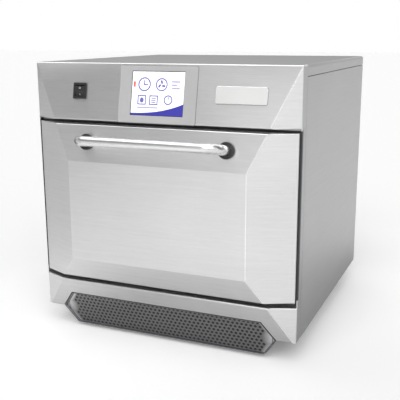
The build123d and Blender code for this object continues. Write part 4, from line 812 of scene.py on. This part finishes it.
# Light: a soft distant lamp in front, in a room that is pale in front and behind and greyer to the sides.
# The lamp's azimuth runs from straight in front towards the right. Its width is the angle that it fills.
KEY_AZIMUTH = 15
KEY_HEIGHT = 50
KEY_WIDTH = 54
KEY_STRENGTH = 1.8
BRIGHT_SIDE = (0.5, -0.866, 0)
ROOM_SHARES = ((0, 1), (1, 0.76), (0.1, 1), (0.25, 0.3), (0.6, 0.2), (0.7, 0.18), (0.77, 0.27), (0.82, 1.1),
               (0.86, 1.1), (0.9, 0.96), (0.95, 0.8))
FLOOR_REACH = 25
FLOOR_TONE = 0.94
FLOOR_GLOW = 0.14
STAGE_ROUGHNESS = 0.9
WHITE = (1, 1, 1, 1)
# Cards that only glossy surfaces show: middle, width, height, tilt, turn, tone and glow.
CARDS = {
    "left_card": ((-0.8, -0.925, 0.3), 1.45, 0.6, 90, 90, 0.84, 0),
    "dark_card": ((-0.8, 0.375, 0.3), 1.15, 0.6, 90, 90, 0.05, 0),
    "soft_box": ((-0.55, -0.55, 1.9), 2.4, 1.4, 0, 0, 0, 2.2),
}
# Ground that only glossy surfaces show and that fades into the floor. It paints a contact shadow round the
# oven and a pool of light in front into reflections:
# middle, reach, fade, socket, level outside and inside.
MATS = {
    "dark_mat": ((0.04, 0.12, 0.001), (0.64, 0.77, 1), (0.08, 0.36), "Base Color", FLOOR_TONE, 0.35),
    "pale_mat": ((-0.1, -1.25, 0.001), (0.62, 0.62, 1), (0, 0.5), "Emission Strength", FLOOR_GLOW, 0.42),
}


def add_camera():
    data = bpy.data.cameras.new("camera")
    data.sensor_width = CAMERA_SENSOR
    data.lens = CAMERA_LENS
    data.clip_end = CAMERA_SIGHT
    camera = bpy.data.objects.new("camera", data)
    bpy.context.scene.collection.objects.link(camera)
    yaw, pitch, roll = (math.radians(angle) for angle in CAMERA_TURNS)
    aim = Euler((math.pi / 2 - pitch, 0, yaw)).to_matrix().to_4x4()
    camera.matrix_world = Matrix.Translation(CAMERA_PLACE) @ aim @ Matrix.Rotation(roll, 4, "Z")
    bpy.context.scene.camera = camera


def add_key():
    """Soft distant lamp."""
    data = bpy.data.lights.new("key", "SUN")
    data.energy = KEY_STRENGTH
    data.angle = math.radians(KEY_WIDTH)
    lamp = bpy.data.objects.new("key", data)
    bpy.context.scene.collection.objects.link(lamp)
    lamp.rotation_euler = Euler((math.radians(90 - KEY_HEIGHT), 0, math.radians(KEY_AZIMUTH)))


def add_world():
    """Pale room, bright in front and behind, greyer to the sides."""
    world = bpy.data.worlds.new("room")
    world.use_nodes = True
    tree = world.node_tree
    sky = tree.nodes["Background"]
    place = tree.nodes.new("ShaderNodeTexCoord").outputs["Generated"]
    facing = tree.nodes.new("ShaderNodeVectorMath")
    facing.operation = "DOT_PRODUCT"
    tree.links.new(place, facing.inputs[0])
    facing.inputs[1].default_value = BRIGHT_SIDE
    ramp = tree.nodes.new("ShaderNodeValToRGB")
    stops = ramp.color_ramp.elements
    for number, (share, level) in enumerate(ROOM_SHARES):
        stop = stops[number] if number < 2 else stops.new(share)
        stop.position = share
        stop.color = (level, level, level, 1)
    tree.links.new(spread(tree, facing.outputs["Value"], 0, 1, -1, 1), ramp.inputs["Fac"])
    tree.links.new(ramp.outputs["Color"], sky.inputs["Color"])
    bpy.context.scene.world = world


def plain_sheet(name, place, tone, glow):
    """Flat sheet, two metres square before it is placed. Returns its object, node tree and shader."""
    bm = bmesh.new()
    bmesh.ops.create_grid(bm, x_segments=1, y_segments=1, size=1, matrix=place)
    material, tree, shader = new_material(name, (tone, tone, tone), STAGE_ROUGHNESS)
    shader.inputs["Emission Color"].default_value = WHITE
    shader.inputs["Emission Strength"].default_value = glow
    return add_object(bm, name, material), tree, shader


def add_floor():
    size = Matrix.Diagonal((FLOOR_REACH, FLOOR_REACH, 1, 1))
    floor, _, _ = plain_sheet("floor", size, FLOOR_TONE, FLOOR_GLOW)


def add_card(name, middle, width, height, tilt, turn, tone, glow):
    """Flat card or soft box that lights nothing and that only glossy surfaces show."""
    turned = Euler((math.radians(tilt), 0, math.radians(turn))).to_matrix().to_4x4()
    place = Matrix.Translation(middle) @ turned @ Matrix.Diagonal((width / 2, height / 2, 1, 1))
    card, tree, shader = plain_sheet(name, place, tone, glow)
    card.visible_camera = False
    card.visible_diffuse = False
    card.visible_shadow = False
    return tree, shader


def add_mat(name, middle, reach, band, socket, outside, inside):
    """Round patch of ground, darker or paler towards its middle, which paints shade or light into
    reflections.
    """
    tree, shader = add_card(name, middle, reach[0] * 2, reach[1] * 2, 0, 0, FLOOR_TONE, FLOOR_GLOW)
    centre = tree.nodes.new("ShaderNodeMapping")
    centre.vector_type = "TEXTURE"
    centre.inputs["Location"].default_value = middle
    centre.inputs["Scale"].default_value = reach
    tree.links.new(tree.nodes.new("ShaderNodeTexCoord").outputs["Object"], centre.inputs["Vector"])
    fade = tree.nodes.new("ShaderNodeTexGradient")
    fade.gradient_type = "SPHERICAL"
    tree.links.new(centre.outputs["Vector"], fade.inputs["Vector"])
    tree.links.new(spread(tree, fade.outputs["Fac"], outside, inside, *band), shader.inputs[socket])


add_camera()
add_floor()
for name, facts in CARDS.items():
    add_card(name, *facts)
for name, facts in MATS.items():
    add_mat(name, *facts)
add_world()
add_key()

bpy.context.scene.view_settings.view_transform = "Standard"
